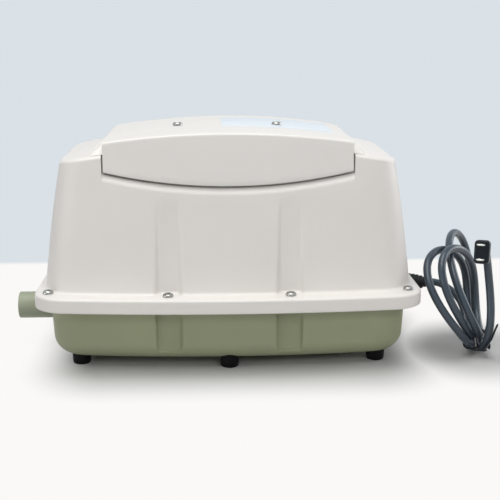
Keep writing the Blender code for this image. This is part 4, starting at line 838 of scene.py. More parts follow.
@dataclass
class PhotoView:
    """The camera, the floor and the light."""

    yaw: float = math.radians(-2.34)
    elevation: float = math.radians(13.59)
    focal_pixels: float = 963.15
    distance: float = 0.950
    aim_height: float = 0.100
    aim_right: float = 0.02192
    aim_up: float = -0.00574
    near_clip: float = 0.01
    lamp_aim: Spot = (0.02, 0.0, 0.10)
    floor_half: float = 6.0
    # The grey floor colour shows only near the footprints, where it darkens a ring as painted shadow; elsewhere the
    # white glow covers it.
    floor_colour: Colour = (0.55, 0.55, 0.55)
    floor_roughness: float = 0.6
    floor_specular: float = 0.2
    floor_white: Colour = (0.970, 0.960, 0.943)
    footprint: Pair = (0.120, 0.076)
    footprint_shift: Pair = (0.010, -0.002)
    hank_place: Pair = (0.256, -0.036)
    hank_radius: float = 0.022
    white_start: float = 0.016
    white_reach: float = 0.088
    white_share: float = 0.97
    back_start: float = 0.315
    back_end: float = 0.337
    room_colour: Colour = (0.705, 0.757, 0.797)
    sky_colour: Colour = (0.985, 0.99, 1.0)
    room_light: float = 0.15

    def build(self) -> None:
        """Stand the camera, lay the floor and hang the lamps."""
        self._camera()
        self._floor()
        for lamp in LAMPS:
            lamp.hang(self.lamp_aim)
        self._world()
        bpy.context.scene.view_settings.view_transform = "Standard"

    def _camera(self) -> None:
        """Place the camera at the photograph's angle and framing."""
        a, e = self.yaw, self.elevation
        back = Vector((math.sin(a) * math.cos(e), -math.cos(a) * math.cos(e), math.sin(e)))
        right = Vector((math.cos(a), math.sin(a), 0))
        up = back.cross(right)
        target = Vector((HOUSING.middle_x, 0, self.aim_height)) + self.aim_right * right + self.aim_up * up
        lens = bpy.data.cameras.new("photo_camera")
        lens.sensor_fit = "HORIZONTAL"
        lens.sensor_width = SENSOR
        lens.lens = self.focal_pixels / IMAGE_SIDE * SENSOR
        lens.clip_start = self.near_clip
        camera = stand("photo_camera", lens)
        turn = Matrix((right, up, back)).transposed().to_4x4()
        camera.matrix_world = Matrix.Translation(target + self.distance * back) @ turn
        bpy.context.scene.camera = camera

    def _floor(self) -> None:
        """Lay the floor: grey and shaded near the pump and the hank, a white glow away from them, and the room's
        tone behind the pump. The grey ring between the glow and their footprints is a painted shadow round the real
        one.
        """
        half = self.floor_half
        corners = [(-half, -half, 0), (half, -half, 0), (half, half, 0), (-half, half, 0)]
        mesh = bpy.data.meshes.new("pale_floor")
        mesh.from_pydata(corners, [], [(0, 1, 2, 3)])
        paint = bpy.data.materials.new("pale_floor_paint")
        paint.use_nodes = True
        web = Web(paint.node_tree)
        shadowed = web.fill(paint.node_tree.nodes["Principled BSDF"], {
            "Base Color": (*self.floor_colour, 1), "Roughness": self.floor_roughness,
            "Specular IOR Level": self.floor_specular})
        where = web.where()
        reach, back = (self.white_start, self.white_reach), (self.back_start, self.back_end)
        # Painted shadow: the white glow is held off within reach of the footprints, leaving a darker grey ring
        # round them.
        glow_beyond_painted_shadow = web.carried(self._away(web, where), reach, (0.0, self.white_share), "SMOOTHSTEP")
        depth = web.add("SeparateXYZ", {0: where}).outputs["Y"]
        behind = web.carried(depth, back, (0.0, 1.0), "SMOOTHSTEP")
        plain = web.add("Emission", {"Color": web.mixed(behind, self.floor_white, self.room_colour)})
        share = web.worked("MULTIPLY", web.worked("MAXIMUM", glow_beyond_painted_shadow, behind), web.looked_at())
        surface = web.shaders(share, shadowed.outputs[0], plain.outputs[0])
        web.fill(paint.node_tree.nodes["Material Output"], {"Surface": surface})
        mesh.materials.append(paint)
        floor = stand("pale_floor", mesh)

    def _away(self, web: Web, where: Socket) -> Socket:
        """Distance on the floor from the pump's footprint or the hank's, whichever is nearer.

        Args:
            web: Node tree to add the nodes to.
            where: Coordinates.

        Returns:
            The socket with the distance.
        """
        middle = (HOUSING.middle_x + self.footprint_shift[0], self.footprint_shift[1], 0)
        from_pump = web.length_after(where, (("SUBTRACT", middle), ("ABSOLUTE", None),
                                             ("SUBTRACT", (*self.footprint, 0)), ("MAXIMUM", (0, 0, 0))))
        from_hank = web.length_after(where, (("SUBTRACT", (*self.hank_place, 0)),))
        outside = web.worked("MAXIMUM", web.worked("SUBTRACT", from_hank, self.hank_radius), 0.0)
        return web.worked("MINIMUM", from_pump, outside)

    def _world(self) -> None:
        """Give the world a pale sky, and show the room's tone to rays from the camera."""
        world = bpy.data.worlds.new("pale_room")
        world.use_nodes = True
        world.node_tree.nodes.clear()
        web = Web(world.node_tree)
        light = web.add("Background", {"Color": (*self.sky_colour, 1), "Strength": self.room_light})
        seen = web.add("Background", {"Color": (*self.room_colour, 1)})
        web.add("OutputWorld", {0: web.shaders(web.looked_at(), light.outputs[0], seen.outputs[0])})
        bpy.context.scene.world = world


@dataclass
class MainsCord:
    """The cord from its strain relief through the tied hank to the plug, on the CAD's route."""

    diameter: float = 0.0075
    bevel_steps: int = 6
    start: Spot = (0.2107, 0.046, 0.0465)
    stub: float = 0.4
    lead_points: tuple[Spot, ...] = ((0.2432, 0.0341, 0.0293), (0.2446, 0.0068, 0.0068))
    lead_count: int = 14
    tail_points: tuple[Spot, ...] = (
        (0.2436, -0.0634, 0.0145), (0.2446, -0.0721, 0.0352), (0.2420, -0.0661, 0.0847))
    tail_count: int = 16
    tie_place: Pair = (0.2425, -0.0356)
    tie_bearing: float = math.radians(11.8)
    tie_lift: float = 0.003
    slot_pitch: float = 0.0086
    loops: tuple[tuple[float, ...], ...] = (
        (45.8, 0.0438, -0.0360, 0.0088, 0.0861), (43.1, 0.0360, -0.0295, -0.0043, 0.0875),
        (29.3, 0.0450, -0.0217, 0.0404, 0.0976))
    loop_points: int = 24
    plug_place: Spot = (0.2294, -0.0932, 0.1131)
    plug_aim: Spot = (-0.357, -0.911, 0.205)
    route_count: int = 720

    def bearings(self, bearing: float) -> tuple[Vector, Vector]:
        """Plan directions at a bearing: the one in which the cord passes forward, and the one across."""
        front = Vector((-math.sin(bearing), -math.cos(bearing), 0))
        return front, Vector((math.cos(bearing), -math.sin(bearing), 0))

    def hank(self) -> list[Vector]:
        """The hank's centre line.

        Returns:
            Points of the loops, each leaving the tie to the front, going over and coming back behind.
        """
        side, low = self.slot_pitch / 2, self.diameter / 2 + self.tie_lift
        high = low + self.slot_pitch
        slots = [(-side, low), (-side, high), (side, high), (side, low)]
        count = len(self.loops)
        points = []
        for i in range(count * self.loop_points + 1):
            turn = min(i // self.loop_points, count - 1)
            t = i / self.loop_points - turn
            before = math.floor(turn + t - 0.5)
            mix = ease(turn + t - 0.5 - before)
            pair = [self.loops[int(clamp(k, 0, count - 1))] for k in (before, before + 1)]
            top, width, lean_x, lean_y, height = (a + (b - a) * mix for a, b in zip(*pair))
            across_by, level = (a + (b - a) * ease(t) for a, b in zip(slots[turn], slots[turn + 1]))
            angle = 2 * math.pi * t
            rise = (1 - math.cos(angle)) / 2
            front, across = self.bearings(self.tie_bearing + (math.radians(top) - self.tie_bearing) * rise)
            points.append(Vector((*self.tie_place, level)) + rise * Vector((lean_x, lean_y, height))
                          + width * math.sin(angle) * front + across_by * across)
        straight = self.diameter * self.bearings(self.tie_bearing)[0]
        return [points[0] - straight] + points + [points[-1] + straight]

    def route(self) -> list[Vector]:
        """The whole centre line, evenly spaced.

        Returns:
            Points from the strain relief to the plug.
        """
        hank = self.hank()
        front = self.bearings(self.tie_bearing)[0]
        start = Vector(self.start) + Vector((FIT, 0, 0))
        aim = Vector(self.plug_aim).normalized()
        lead = self._run(start, Vector((1, 0, 0)), self.lead_points, hank[0] - FIT * front, front,
                         self.lead_count)
        tail = self._run(hank[-1] + FIT * front, front, self.tail_points, Vector(self.plug_place) - FIT * aim,
                         aim, self.tail_count)
        knots = lead[:-1] + hank[1:-1] + tail[1:]
        return smooth_run(knots, Vector((1, 0, 0)), aim, self.route_count)

    def _run(self, start: Vector, start_aim: Vector, between: Sequence[Sequence[float]], end: Vector,
             end_aim: Vector, count: int) -> list[Vector]:
        """A free stretch with a short straight stub at each end.

        Args:
            start: Where it starts.
            start_aim: Direction there.
            between: Points that it passes.
            end: Where it ends.
            end_aim: Direction there.
            count: Points between its stubs.

        Returns:
            Points of the stretch.
        """
        stub = self.stub * self.diameter
        first, last = start + stub * start_aim, end - stub * end_aim
        return [start] + smooth_run([first, *between, last], start_aim, end_aim, count) + [end]

    def _placed(self) -> list[Vector]:
        """The whole centre line in the CAD's frame."""
        return [p + Vector((HOUSING.middle_x, 0, 0)) for p in self.route()]

    def build(self) -> Object:
        """Make the cord as one curve along its route.

        Returns:
            The cord.
        """
        points = self._placed()
        curve = bpy.data.curves.new("mains_cord", "CURVE")
        curve.dimensions = "3D"
        curve.bevel_depth = self.diameter / 2
        curve.bevel_resolution = self.bevel_steps
        curve.use_fill_caps = True
        line = curve.splines.new("POLY")
        line.points.add(len(points) - 1)
        for knot, place in zip(line.points, points):
            knot.co = (*place, 1)
        line.use_smooth = True
        nodes = ["cord_lead", "cord_hank", "cord_tail"]
        return add_piece("mains_cord", curve, CORD_PVC, Body.PUMP, nodes, placed=True)

    def declare(self) -> None:
        points = self._placed()


# Points tried for each point that a smooth run keeps.
FINER = 40


def smooth_run(points: Sequence[Sequence[float]], start: Sequence[float], end: Sequence[float],
               count: int) -> list[Vector]:
    """Evenly spaced points on a smooth curve through a list of points.

    Args:
        points: Points that it passes.
        start: Direction at its first point.
        end: Direction at its last point.
        count: Points wanted.

    Returns:
        The points.
    """
    knots = np.array([tuple(p) for p in points], dtype=float)
    span = np.linalg.norm(np.diff(knots, axis=0), axis=1)
    slope = np.diff(knots, axis=0) / span[:, None]
    last = len(knots) - 1
    system = np.zeros((last + 1, last + 1))
    turn = np.zeros((last + 1, 3))
    system[0, :2] = 2 * span[0], span[0]
    system[last, last - 1:] = span[-1], 2 * span[-1]
    turn[0] = 6 * (slope[0] - np.array(start))
    turn[last] = 6 * (np.array(end) - slope[-1])
    for i in range(1, last):
        system[i, i - 1:i + 2] = span[i - 1], 2 * (span[i - 1] + span[i]), span[i]
        turn[i] = 6 * (slope[i] - slope[i - 1])
    bend = np.linalg.solve(system, turn)
    reach = np.concatenate([[0], np.cumsum(span)])
    fine = np.linspace(0, reach[-1], FINER * count)
    k = np.clip(np.searchsorted(reach, fine, side="right") - 1, 0, last - 1)
    left, right, gap = (reach[k + 1] - fine)[:, None], (fine - reach[k])[:, None], span[k][:, None]
    curve = (bend[k] * left ** 3 + bend[k + 1] * right ** 3) / (6 * gap)
    curve += (knots[k] / gap - bend[k] * gap / 6) * left
    curve += (knots[k + 1] / gap - bend[k + 1] * gap / 6) * right
    along = np.concatenate([[0], np.cumsum(np.linalg.norm(np.diff(curve, axis=0), axis=1))])
    even = np.linspace(0, along[-1], count)
    return [Vector([np.interp(s, along, curve[:, axis]) for axis in range(3)]) for s in even]


@dataclass
class CordTie:
    """The black wire tie, wound twice round the passes of the cord, with a tail over the cord in front."""

    cord: MainsCord
    wire: float = 0.0019
    stub: float = 0.007
    gather: float = 0.030
    steps: int = 12
    points: int = 36
    line_count: int = 300
    first_turn: Pair = (50.0, 360.0)
    second_turn: Pair = (0.0, 292.0)
    second_place: Spot = (0.2363, -0.0555, 0.0163)
    second_along: Spot = (-0.334, -0.752, 0.570)
    tail_points: tuple[Spot, ...] = (
        (0.2424, -0.0672, 0.0106), (0.2447, -0.0738, 0.0208), (0.2477, -0.0769, 0.0316),
        (0.2503, -0.0774, 0.0392))

    END_SIZES = (0.45, 0.8, 0.95)

    def build(self) -> Object:
        """Wind the tie round the bundle and lay its tail.

        Returns:
            The tie.
        """
        cord = self.cord
        route = cord.route()
        front, across = cord.bearings(cord.tie_bearing)
        middle = Vector((*cord.tie_place, cord.diameter / 2 + cord.tie_lift + cord.slot_pitch / 2))
        away = (across + 2 * Vector((0, 0, 1)) - front).normalized()
        first = self._turn(route, middle, front, self.first_turn)
        along = Vector(self.second_along).normalized()
        second = self._turn(route, Vector(self.second_place), along, self.second_turn)
        tail = [Vector(p) for p in self.tail_points]
        path = [first[0] + self.stub * away] + first + second + tail
        line = smooth_run(path, -away, (tail[-1] - tail[-2]).normalized(), self.line_count)
        return add_piece("cord_tie_wire", self._wire(line), BLACK_NYLON, Body.PUMP, ["cord_tie"])

    def _wire(self, line: Sequence[Vector]) -> Mesh:
        """The wire with its rounded ends.

        Args:
            line: Its centre line.

        Returns:
            Its mesh.
        """
        rows = []
        side, last = Vector((0, 0, 1)), len(line) - 1
        for i, spot in enumerate(line):
            along = (line[min(i + 1, last)] - line[max(i - 1, 0)]).normalized()
            side = (side - along * side.dot(along)).normalized()
            other = along.cross(side)
            size = self.wire / 2 * dict(enumerate(self.END_SIZES)).get(min(i, last - i), 1.0)
            rows.append([spot + size * (c * side + s * other) for c, s in around(self.steps)])
        skin = Skin()
        skin.tube(rows)
        return skin.mesh(crease=60)

    def _turn(self, route: Sequence[Vector], middle: Vector, along: Vector, angles: Pair) -> list[Vector]:
        """A turn of wire, tight round the passes of the cord that cross a plane.

        Args:
            route: The cord's centre line.
            middle: Middle of the turn.
            along: Direction of the passes there, square to the turn.
            angles: First and last angle in degrees, from the side over the top.

        Returns:
            Points of the turn.
        """
        across = Vector((-along.y, along.x, 0)).normalized()
        up = along.cross(across)
        passes = []
        for a, b in zip(route, route[1:]):
            before, after = (a - middle).dot(along), (b - middle).dot(along)
            if before * after <= 0 and before != after and (a - middle).length < self.gather:
                passes.append(a + (b - a) * before / (before - after))
        reach = self.cord.diameter / 2 + self.wire / 2 + FIT
        turn = []
        for degrees in spread(*angles, self.points):
            out = math.cos(math.radians(degrees)) * across + math.sin(math.radians(degrees)) * up
            turn.append(max(passes, key=lambda p: (p - middle).dot(out)) + reach * out)
        return turn


@dataclass
class CordBoot:
    """The ribbed rubber strain relief in the right end of the base."""

    cord: MainsCord
    wall_x: float = 0.1663
    inside: float = 0.016
    neck_radius: float = 0.0068
    root_radius: float = 0.0092
    tip_radius: float = 0.0045
    taper_start: float = 0.55
    taper_power: float = 1.6
    groove: float = 0.0016
    groove_fade: float = 0.6
    core_rows: int = 24
    core_end: float = 0.985
    core_tip: float = 0.86
    core_mouth: float = 0.84
    ribs: int = 11
    rib_start: float = 0.3
    rib_width: float = 0.31
    rib_inner: float = 0.80
    steps: int = 40

    def _taper(self, share: float) -> float:
        """How far the boot has tapered at a share of its length."""
        return max(0.0, share - self.taper_start) / (1 - self.taper_start)

    def radius(self, share: float) -> float:
        """Outer radius at a share of the length."""
        taper = self._taper(share) ** self.taper_power
        return self.root_radius + (self.tip_radius - self.root_radius) * taper

    def build(self) -> None:
        """Make the core and its ribs."""
        reach, y, z = self.cord.start
        length, back = reach - self.wall_x, self.wall_x - self.inside
        turn = Matrix.Rotation(math.pi / 2, 4, "Y")
        profile = [(0.0, back), (self.neck_radius, back), (self.neck_radius, self.wall_x)]
        for share in spread(0, self.core_end, self.core_rows):
            inner = self.radius(share) - self.groove * (1 - self._taper(share) * self.groove_fade)
            profile.append((max(inner, self.tip_radius * self.core_tip), self.wall_x + share * length))
        profile += [(self.tip_radius * self.core_mouth, reach), (0.0, reach)]
        core = Skin()
        core.turned(profile, Matrix.Translation((0, y, z)) @ turn, self.steps)
        half = length / self.ribs * self.rib_width
        corners = [(self.rib_inner, -half), (1.0, -half), (1.0, half), (self.rib_inner, half)]
        ring = softened(corners, [half / 2] * 2, steps=5)
        rib = Skin()
        rib.turned(ring + [ring[0]], turn, self.steps)
        shares = [(i + self.rib_start) / self.ribs for i in range(self.ribs)]
        seats = [(self.wall_x + s * length, y, z) for s in shares]
        sizes = [(1, self.radius(s), self.radius(s)) for s in shares]
        ribs = SeatedCopies().mesh(rib.mesh(crease=50), INNER_RUBBER, seats, sizes)
        add_piece("cord_boot_core", core.mesh(), INNER_RUBBER, Body.PUMP, ["cord_strain_relief"])
        add_piece("cord_boot_ribs", ribs, INNER_RUBBER, Body.PUMP)


@dataclass
class Plug:
    """The two-blade plug at the cord's end."""

    cord: MainsCord
    roll: float = math.radians(0.5)
    width: float = 0.0132
    height: float = 0.0208
    length: float = 0.0315
    collar: float = 0.012
    collar_radius: float = 0.0050
    collar_mouth: tuple[Pair, ...] = ((0.0, 0.80), (0.0006, 0.92))
    rings: int = 4
    ring_start: float = 0.0012
    ring_pitch: float = 0.0026
    ring: tuple[Pair, ...] = ((0.0, 0.93), (0.0004, 1.0), (0.0014, 1.0), (0.0018, 0.93))
    round_trim: float = 0.01
    shoulder: float = 0.004
    shoulder_rows: int = 9
    corner_shares: Pair = (0.98, 0.70)
    corner_steps: int = 6
    edge: float = 0.0015
    edge_turns: tuple[float, ...] = (0.0, 0.35, 0.7, 1.0)
    face_rim: float = 0.0008
    face_corner: float = 0.4
    face_recess: float = 0.0005
    face_slope: float = 0.0004
    blade_spacing: float = 0.0127
    blade_width: float = 0.00635
    blade_thick: float = 0.0015
    blade_reach: float = 0.017
    blade_socket: float = 0.004
    blade_edge: float = 0.0004
    blade_tip: tuple[Pair, ...] = ((1.0, 0.0022), (0.9, 0.0009), (0.62, 0.0))
    tip_zone: float = 0.003

    def frame(self) -> Matrix:
        """The plug's own frame.

        Returns:
            A matrix whose Z runs along the blades.
        """
        aim = Vector(self.cord.plug_aim).normalized()
        side = Vector((0, 0, 1)).cross(aim).normalized()
        made = Matrix((side, aim.cross(side), aim)).transposed().to_4x4() @ Matrix.Rotation(self.roll, 4, "Z")
        made.translation = Vector(self.cord.plug_place)
        return made

    def _outline(self, half_x: float, half_y: float, corner: float, z: float) -> list[Vector]:
        """A rounded rectangle across the plug.

        Args:
            half_x: Half width.
            half_y: Half height.
            corner: Corner radius.
            z: Place along the plug.

        Returns:
            Points around it.
        """
        points = []
        for turn, (sx, sy) in enumerate(((1, 1), (-1, 1), (-1, -1), (1, -1))):
            for i in range(self.corner_steps + 1):
                angle = (turn + i / self.corner_steps) * math.pi / 2
                points.append(Vector((sx * (half_x - corner) + corner * math.cos(angle),
                                      sy * (half_y - corner) + corner * math.sin(angle), z)))
        return points

    def _stages(self) -> list[tuple[float, float, float, float]]:
        """Outlines along the body, from the cord to the face.

        Returns:
            Place along the plug, half width, half height and corner radius of each.
        """
        half_x, half_y, r = self.width / 2, self.height / 2, self.collar_radius
        collar = list(self.collar_mouth)
        for ring in range(self.rings):
            low = self.ring_start + ring * self.ring_pitch
            collar += [(low + z, share) for z, share in self.ring]
        stages = [(z, r * share, r * share, r * (share - self.round_trim)) for z, share in collar]
        start, end = self.corner_shares
        for t in spread(0, 1, self.shoulder_rows):
            grow = ease(t)
            stages.append((self.collar + 2 * self.shoulder * t, r + (half_x - r) * grow,
                           r + (half_y - r) * grow, r * (start + (end - start) * grow)))
        for turn in self.edge_turns:
            back = self.edge * (1 - math.cos(turn * math.pi / 2))
            z = self.length - self.edge + self.edge * math.sin(turn * math.pi / 2)
            stages.append((z, half_x - back, half_y - back, r * end - back))
        x, y = half_x - self.edge - self.face_rim, half_y - self.edge - self.face_rim
        slope, corner = self.face_slope, r * self.face_corner
        stages.append((self.length, x, y, corner))
        stages.append((self.length - self.face_recess, x - slope, y - slope, corner))
        return stages

    def build(self) -> list[Object]:
        """Make the body and the two blades.

        Returns:
            The body and the blades.
        """
        place = self.frame()
        skin = Skin()
        skin.tube([[place @ p for p in self._outline(x, y, corner, z)] for z, x, y, corner in self._stages()])
        pieces = [add_piece("plug_moulding", skin.mesh(crease=40), BLACK_NYLON, Body.PUMP, ["plug_body"])]
        for name, up in (("upper", 1), ("lower", -1)):
            mesh = self._blade(place, up * self.blade_spacing / 2)
            nodes = ["plug_blade_" + name]
            pieces.append(add_piece("plug_contact_" + name, mesh, BLADE_NICKEL, Body.PUMP, nodes))
        return pieces

    def _blade(self, place: Matrix, y: float) -> Mesh:
        """One flat blade with a rounded tip.

        Args:
            place: The plug's frame.
            y: The blade's place across the plug.

        Returns:
            The blade's mesh.
        """
        low, high = self.length - self.blade_socket + FIT, self.length + self.blade_reach
        half, thick, edge = self.blade_width / 2, self.blade_thick / 2, self.blade_edge
        tip = [(half * share, high - back) for share, back in self.blade_tip]
        outline = [(-half, low), (half, low), *tip, *((-x, z) for x, z in reversed(tip))]
        rows = []
        for inset, depth in ((edge, thick), (0.0, thick - edge), (0.0, edge - thick), (edge, -thick)):
            row = []
            for x, z in outline:
                back = inset if z > high - self.tip_zone else 0.0
                row.append(place @ Vector((x * (1 - inset / half), y + depth, z - back)))
            rows.append(row)
        skin = Skin()
        skin.tube(rows)
        return skin.mesh(crease=30)


@dataclass
class UpperCover:
    """The white cover: flange and skirt, fluted walls, apron pockets, shoulders and deck."""

    skirt_round: float = 0.0009
    edge_round: float = 0.0022
    edge_rows: int = 6
    edge_plain: float = 0.0006
    foot_fillet: float = 0.0026
    shoulder_round: float = 0.0034
    shoulder_rows: int = 9
    flute_depth: float = 0.0050
    flute_slope: float = 0.65
    flute_top: float = 0.163
    flute_close: float = 0.012
    wall: float = 0.0035
    inner_drop: float = 0.012
    deck: float = 0.004
    apron_gap: float = 0.0020
    recess: float = 0.0075
    bevel: float = 0.0052
    bevel_depth: float = 0.0036
    pocket_run: float = 0.004
    pocket_rounds: tuple[float, ...] = (0.0016, 0.0006, 0.0008, 0.0009)
    pocket_steps: int = 5
    pocket_split: float = 0.00005
    lift_clear: float = 0.0016
    side_marks: Pair = (0.078, 0.108)
    side_columns: int = 11
    slots: int = 5
    slot_width: float = 0.008
    slot_half_length: float = 0.035
    slot_pitch: float = 0.014
    boss_radius: float = 0.006
    boss_edge: float = 0.0006
    boss_sink: float = 0.6
    boss_steps: int = 32
    tap_radius: float = 0.0024
    lid_wall: float = 0.003
    wall_rows: int = 26

    def pocket_half(self) -> float:
        """Half length of the apron's pocket."""
        return HOUSING.apron_length / 2 + self.lift_clear

    def slot_spans(self) -> list[Pair]:
        """Ends along X of each intake slot."""
        middles = [(i - (self.slots - 1) / 2) * self.slot_pitch for i in range(self.slots)]
        return [(x - self.slot_width / 2, x + self.slot_width / 2) for x in middles]

    def columns(self) -> list[Column]:
        """The cover's columns, close together at the flutes and split at the pocket's ends.

        Returns:
            The columns in order.
        """
        end = self.pocket_half()
        marks = {abs(x) for span in self.slot_spans() for x in span} | HOUSING.flute_marks()
        marks |= {0.0, end - self.pocket_split, end, *spread(*self.side_marks, self.side_columns)}
        return Column.row(marks, end)

    def _wall(self, column: Column, z: float, out: float = 0.0) -> Vector:
        """A point on the cover's outer wall, or beyond it.

        Args:
            column: The column.
            z: Height.
            out: Distance outwards from the wall.

        Returns:
            The point.
        """
        half_x, half_y, corner = HOUSING.cover_half(z)
        x, y = column.place(half_x + out, half_y + out, corner + out)
        if column.stretch is Stretch.FRONT:
            floor = HOUSING.cover_wall_y(HOUSING.screw_x, HOUSING.flange_top) - self.flute_depth
            closed = ease(clamp((z - self.flute_top + self.flute_close) / self.flute_close))
            floor += closed * max(0.0, -y - out - floor + HOUSING.flute_blend)
            y = -(HOUSING.fluted(x, -y - out, floor, self.flute_depth, self.flute_slope) + out)
        return Vector((x, y, z))

    def _inner(self, column: Column, z: float, inset: float) -> Vector:
        """A point on the cover's inner side at a height, with its own inset at the front."""
        half_x, half_y, corner = HOUSING.cover_half(z)
        return column.at(half_x - self.wall, half_y - inset, corner - self.wall, z)

    def _inside(self, column: Column) -> list[Vector]:
        """The cover's inner side, from the middle of the deck's underside down to the skirt's lower edge.

        Args:
            column: The column.

        Returns:
            The points.
        """
        step = HOUSING.apron_low(0) - self.apron_gap - self.bevel - 2 * self.wall
        deep, top = self.recess + self.wall, HOUSING.flange_top
        edge = self._inner(column, HOUSING.cover_arch(HOUSING.top_length / 2), deep)
        edge.z = HOUSING.cover_arch(edge.x) - self.deck
        points = [*reversed(self._spine(column, edge, -self.deck)), edge]
        points += [self._inner(column, step + self.wall, deep), self._inner(column, step, self.wall)]
        heights = (step - self.inner_drop, (step + top) / 2, top)
        points += [self._wall(column, z, -self.wall) for z in heights]
        low = top - HOUSING.flange_plate
        points.append(Vector((points[-1].x, points[-1].y, low)))
        heights = (low, self._skirt_low() + self.skirt_round)
        return points + [column.on_flange(HOUSING.skirt_wall, z) for z in heights]

    def _skirt_low(self) -> float:
        """Height of the skirt's lower edge."""
        return HOUSING.flange_top - HOUSING.skirt_height

    def _flange(self, column: Column) -> list[Vector]:
        """The skirt's lower edge, its outer side, the flange's rounded edge and its top.

        Args:
            column: The column.

        Returns:
            The points.
        """
        low, top, r = self._skirt_low(), HOUSING.flange_top, self.skirt_round
        thick, big, fillet = HOUSING.skirt_wall, self.edge_round, self.foot_fillet
        section = [(thick - r * (1 - CHAMFER), low + r * CHAMFER), (thick - r, low), (r, low),
                   (r * CHAMFER, low + r * CHAMFER), (0.0, low + r)]
        section += [(0.0, z) for z in spread(low + r * 2, top - big - self.edge_plain, 3)]
        turn = quarter(self.edge_rows)
        section += [(big * (1 - c), top - big + big * s) for s, c in turn]
        points = [column.on_flange(inset, z) for inset, z in section]
        points.append(points[-1].lerp(self._wall(column, top, fillet), 0.5))
        return points + [self._wall(column, top + fillet * (1 - c), fillet * (1 - s)) for s, c in turn]

    def _pocket(self, column: Column, start: float) -> list[Vector]:
        """The apron's pocket: bevel, ledge, back wall and the deck's edge.

        Args:
            column: A column within the pocket.
            start: Height at which the plain wall ends.

        Returns:
            The points.
        """
        x = column.side * column.share
        low = HOUSING.apron_low(x) - self.apron_gap
        wall = HOUSING.cover_wall_y(x, low)
        turn_z = low - self.bevel
        top, back = HOUSING.cover_arch(x), wall - self.recess
        corners = [(-self._wall(column, start).y, start), (HOUSING.cover_wall_y(x, turn_z), turn_z),
                   (wall - self.bevel_depth, low), (back, low), (back, top), (back - self.pocket_run, top)]
        return [Vector((x, -y, z)) for y, z in softened(corners, self.pocket_rounds, self.pocket_steps)]

    def _shoulder(self, column: Column, start: float, count: int) -> list[Vector]:
        """The plain wall's upper stretch and the rounded shoulder beside the pocket.

        Args:
            column: A column outside the pocket.
            start: Height at which the lower wall ends.
            count: Points wanted.

        Returns:
            The points.
        """
        x = self._wall(column, HOUSING.cover_arch(HOUSING.top_length / 2)).x
        top, r = HOUSING.cover_arch(x), self.shoulder_round
        points = [self._wall(column, z) for z in spread(start, top - r, count - self.shoulder_rows + 1)]
        for s, c in quarter(self.shoulder_rows)[1:]:
            spot = self._wall(column, top - r, -r * (1 - c))
            points.append(Vector((spot.x, spot.y, HOUSING.cover_arch(spot.x) - r + r * s)))
        return points

    def _spine(self, column: Column, edge: Vector, lift: float) -> list[Vector]:
        """Points from the deck's edge to the middle line.

        Args:
            column: The column.
            edge: The deck's edge there.
            lift: Height above the deck's top.

        Returns:
            The points after the edge.
        """
        end_x = edge.x
        if column.stretch is not Stretch.FRONT or column.share > Column.FIXED_X:
            end_x = column.side * Column.FIXED_X
        slot_y = min(self.slot_half_length, abs(edge.y) * 0.5)
        share = 1 - slot_y / abs(edge.y) if edge.y else 0.5
        points = []
        for t, y in ((share, -slot_y), (1.0, 0.0)):
            x = edge.x + (end_x - edge.x) * t
            points.append(Vector((x, y, HOUSING.cover_arch(x) + lift)))
        return points

    def profile(self, column: Column) -> list[Vector]:
        """One column of the cover's skin, from the deck's underside round to its top.

        Args:
            column: The column.

        Returns:
            The points, as many for every column.
        """
        x = column.share if column.pocket else self.pocket_half()
        end = HOUSING.apron_low(x) - self.apron_gap - self.bevel - self.pocket_run
        foot = HOUSING.flange_top + self.foot_fillet
        points = self._inside(column) + self._flange(column)
        points += [self._wall(column, z) for z in spread(foot, end, self.wall_rows)[1:-1]]
        count = 2 + len(self.pocket_rounds) * self.pocket_steps
        points += self._pocket(column, end) if column.pocket else self._shoulder(column, end, count)
        return points + self._spine(column, points[-1], 0.0)

    def build(self) -> None:
        """Make the cover."""
        columns = self.columns()
        profiles = [self.profile(c) for c in columns]
        rows = list(zip(*profiles))
        spans = self.slot_spans()

        def slotted(c: int) -> bool:
            """Whether the stretch after column c lies in an intake slot."""
            xs = [profiles[k][0].x for k in (c, c + 1)]
            return any(low - NEAR < min(xs) and max(xs) < high + NEAR for low, high in spans)

        skin = Skin()
        skin.grid(rows, keep=lambda r, c: r not in (0, len(rows) - 2) or not slotted(c))
        for c, (here, there) in enumerate(zip(profiles, profiles[1:])):
            if slotted(c):
                skin.grid([[here[-2], there[-2]], [here[1], there[1]]])
        for here in profiles:
            if any(abs(here[0].x - x) < NEAR for span in spans for x in span):
                skin.grid([[here[-2], here[-1]], [here[1], here[0]]])
        skin.mirrored()
        r, edge, tap = self.boss_radius, self.boss_edge, self.tap_radius
        top = HOUSING.lid_arch(HOUSING.boss_x + r) - self.lid_wall - 2 * FIT
        for x in (-HOUSING.boss_x, HOUSING.boss_x):
            low = HOUSING.cover_arch(x) - self.deck * self.boss_sink
            section = [(tap, low), (r, low), (r, top - edge), (r - edge, top), (tap, top), (tap, low)]
            skin.turned(section, Matrix.Translation((x, 0, 0)), self.boss_steps)
        add_piece("cover_shell", skin.mesh(crease=32), WHITE_ABS, Body.PUMP, ["upper_cover"])


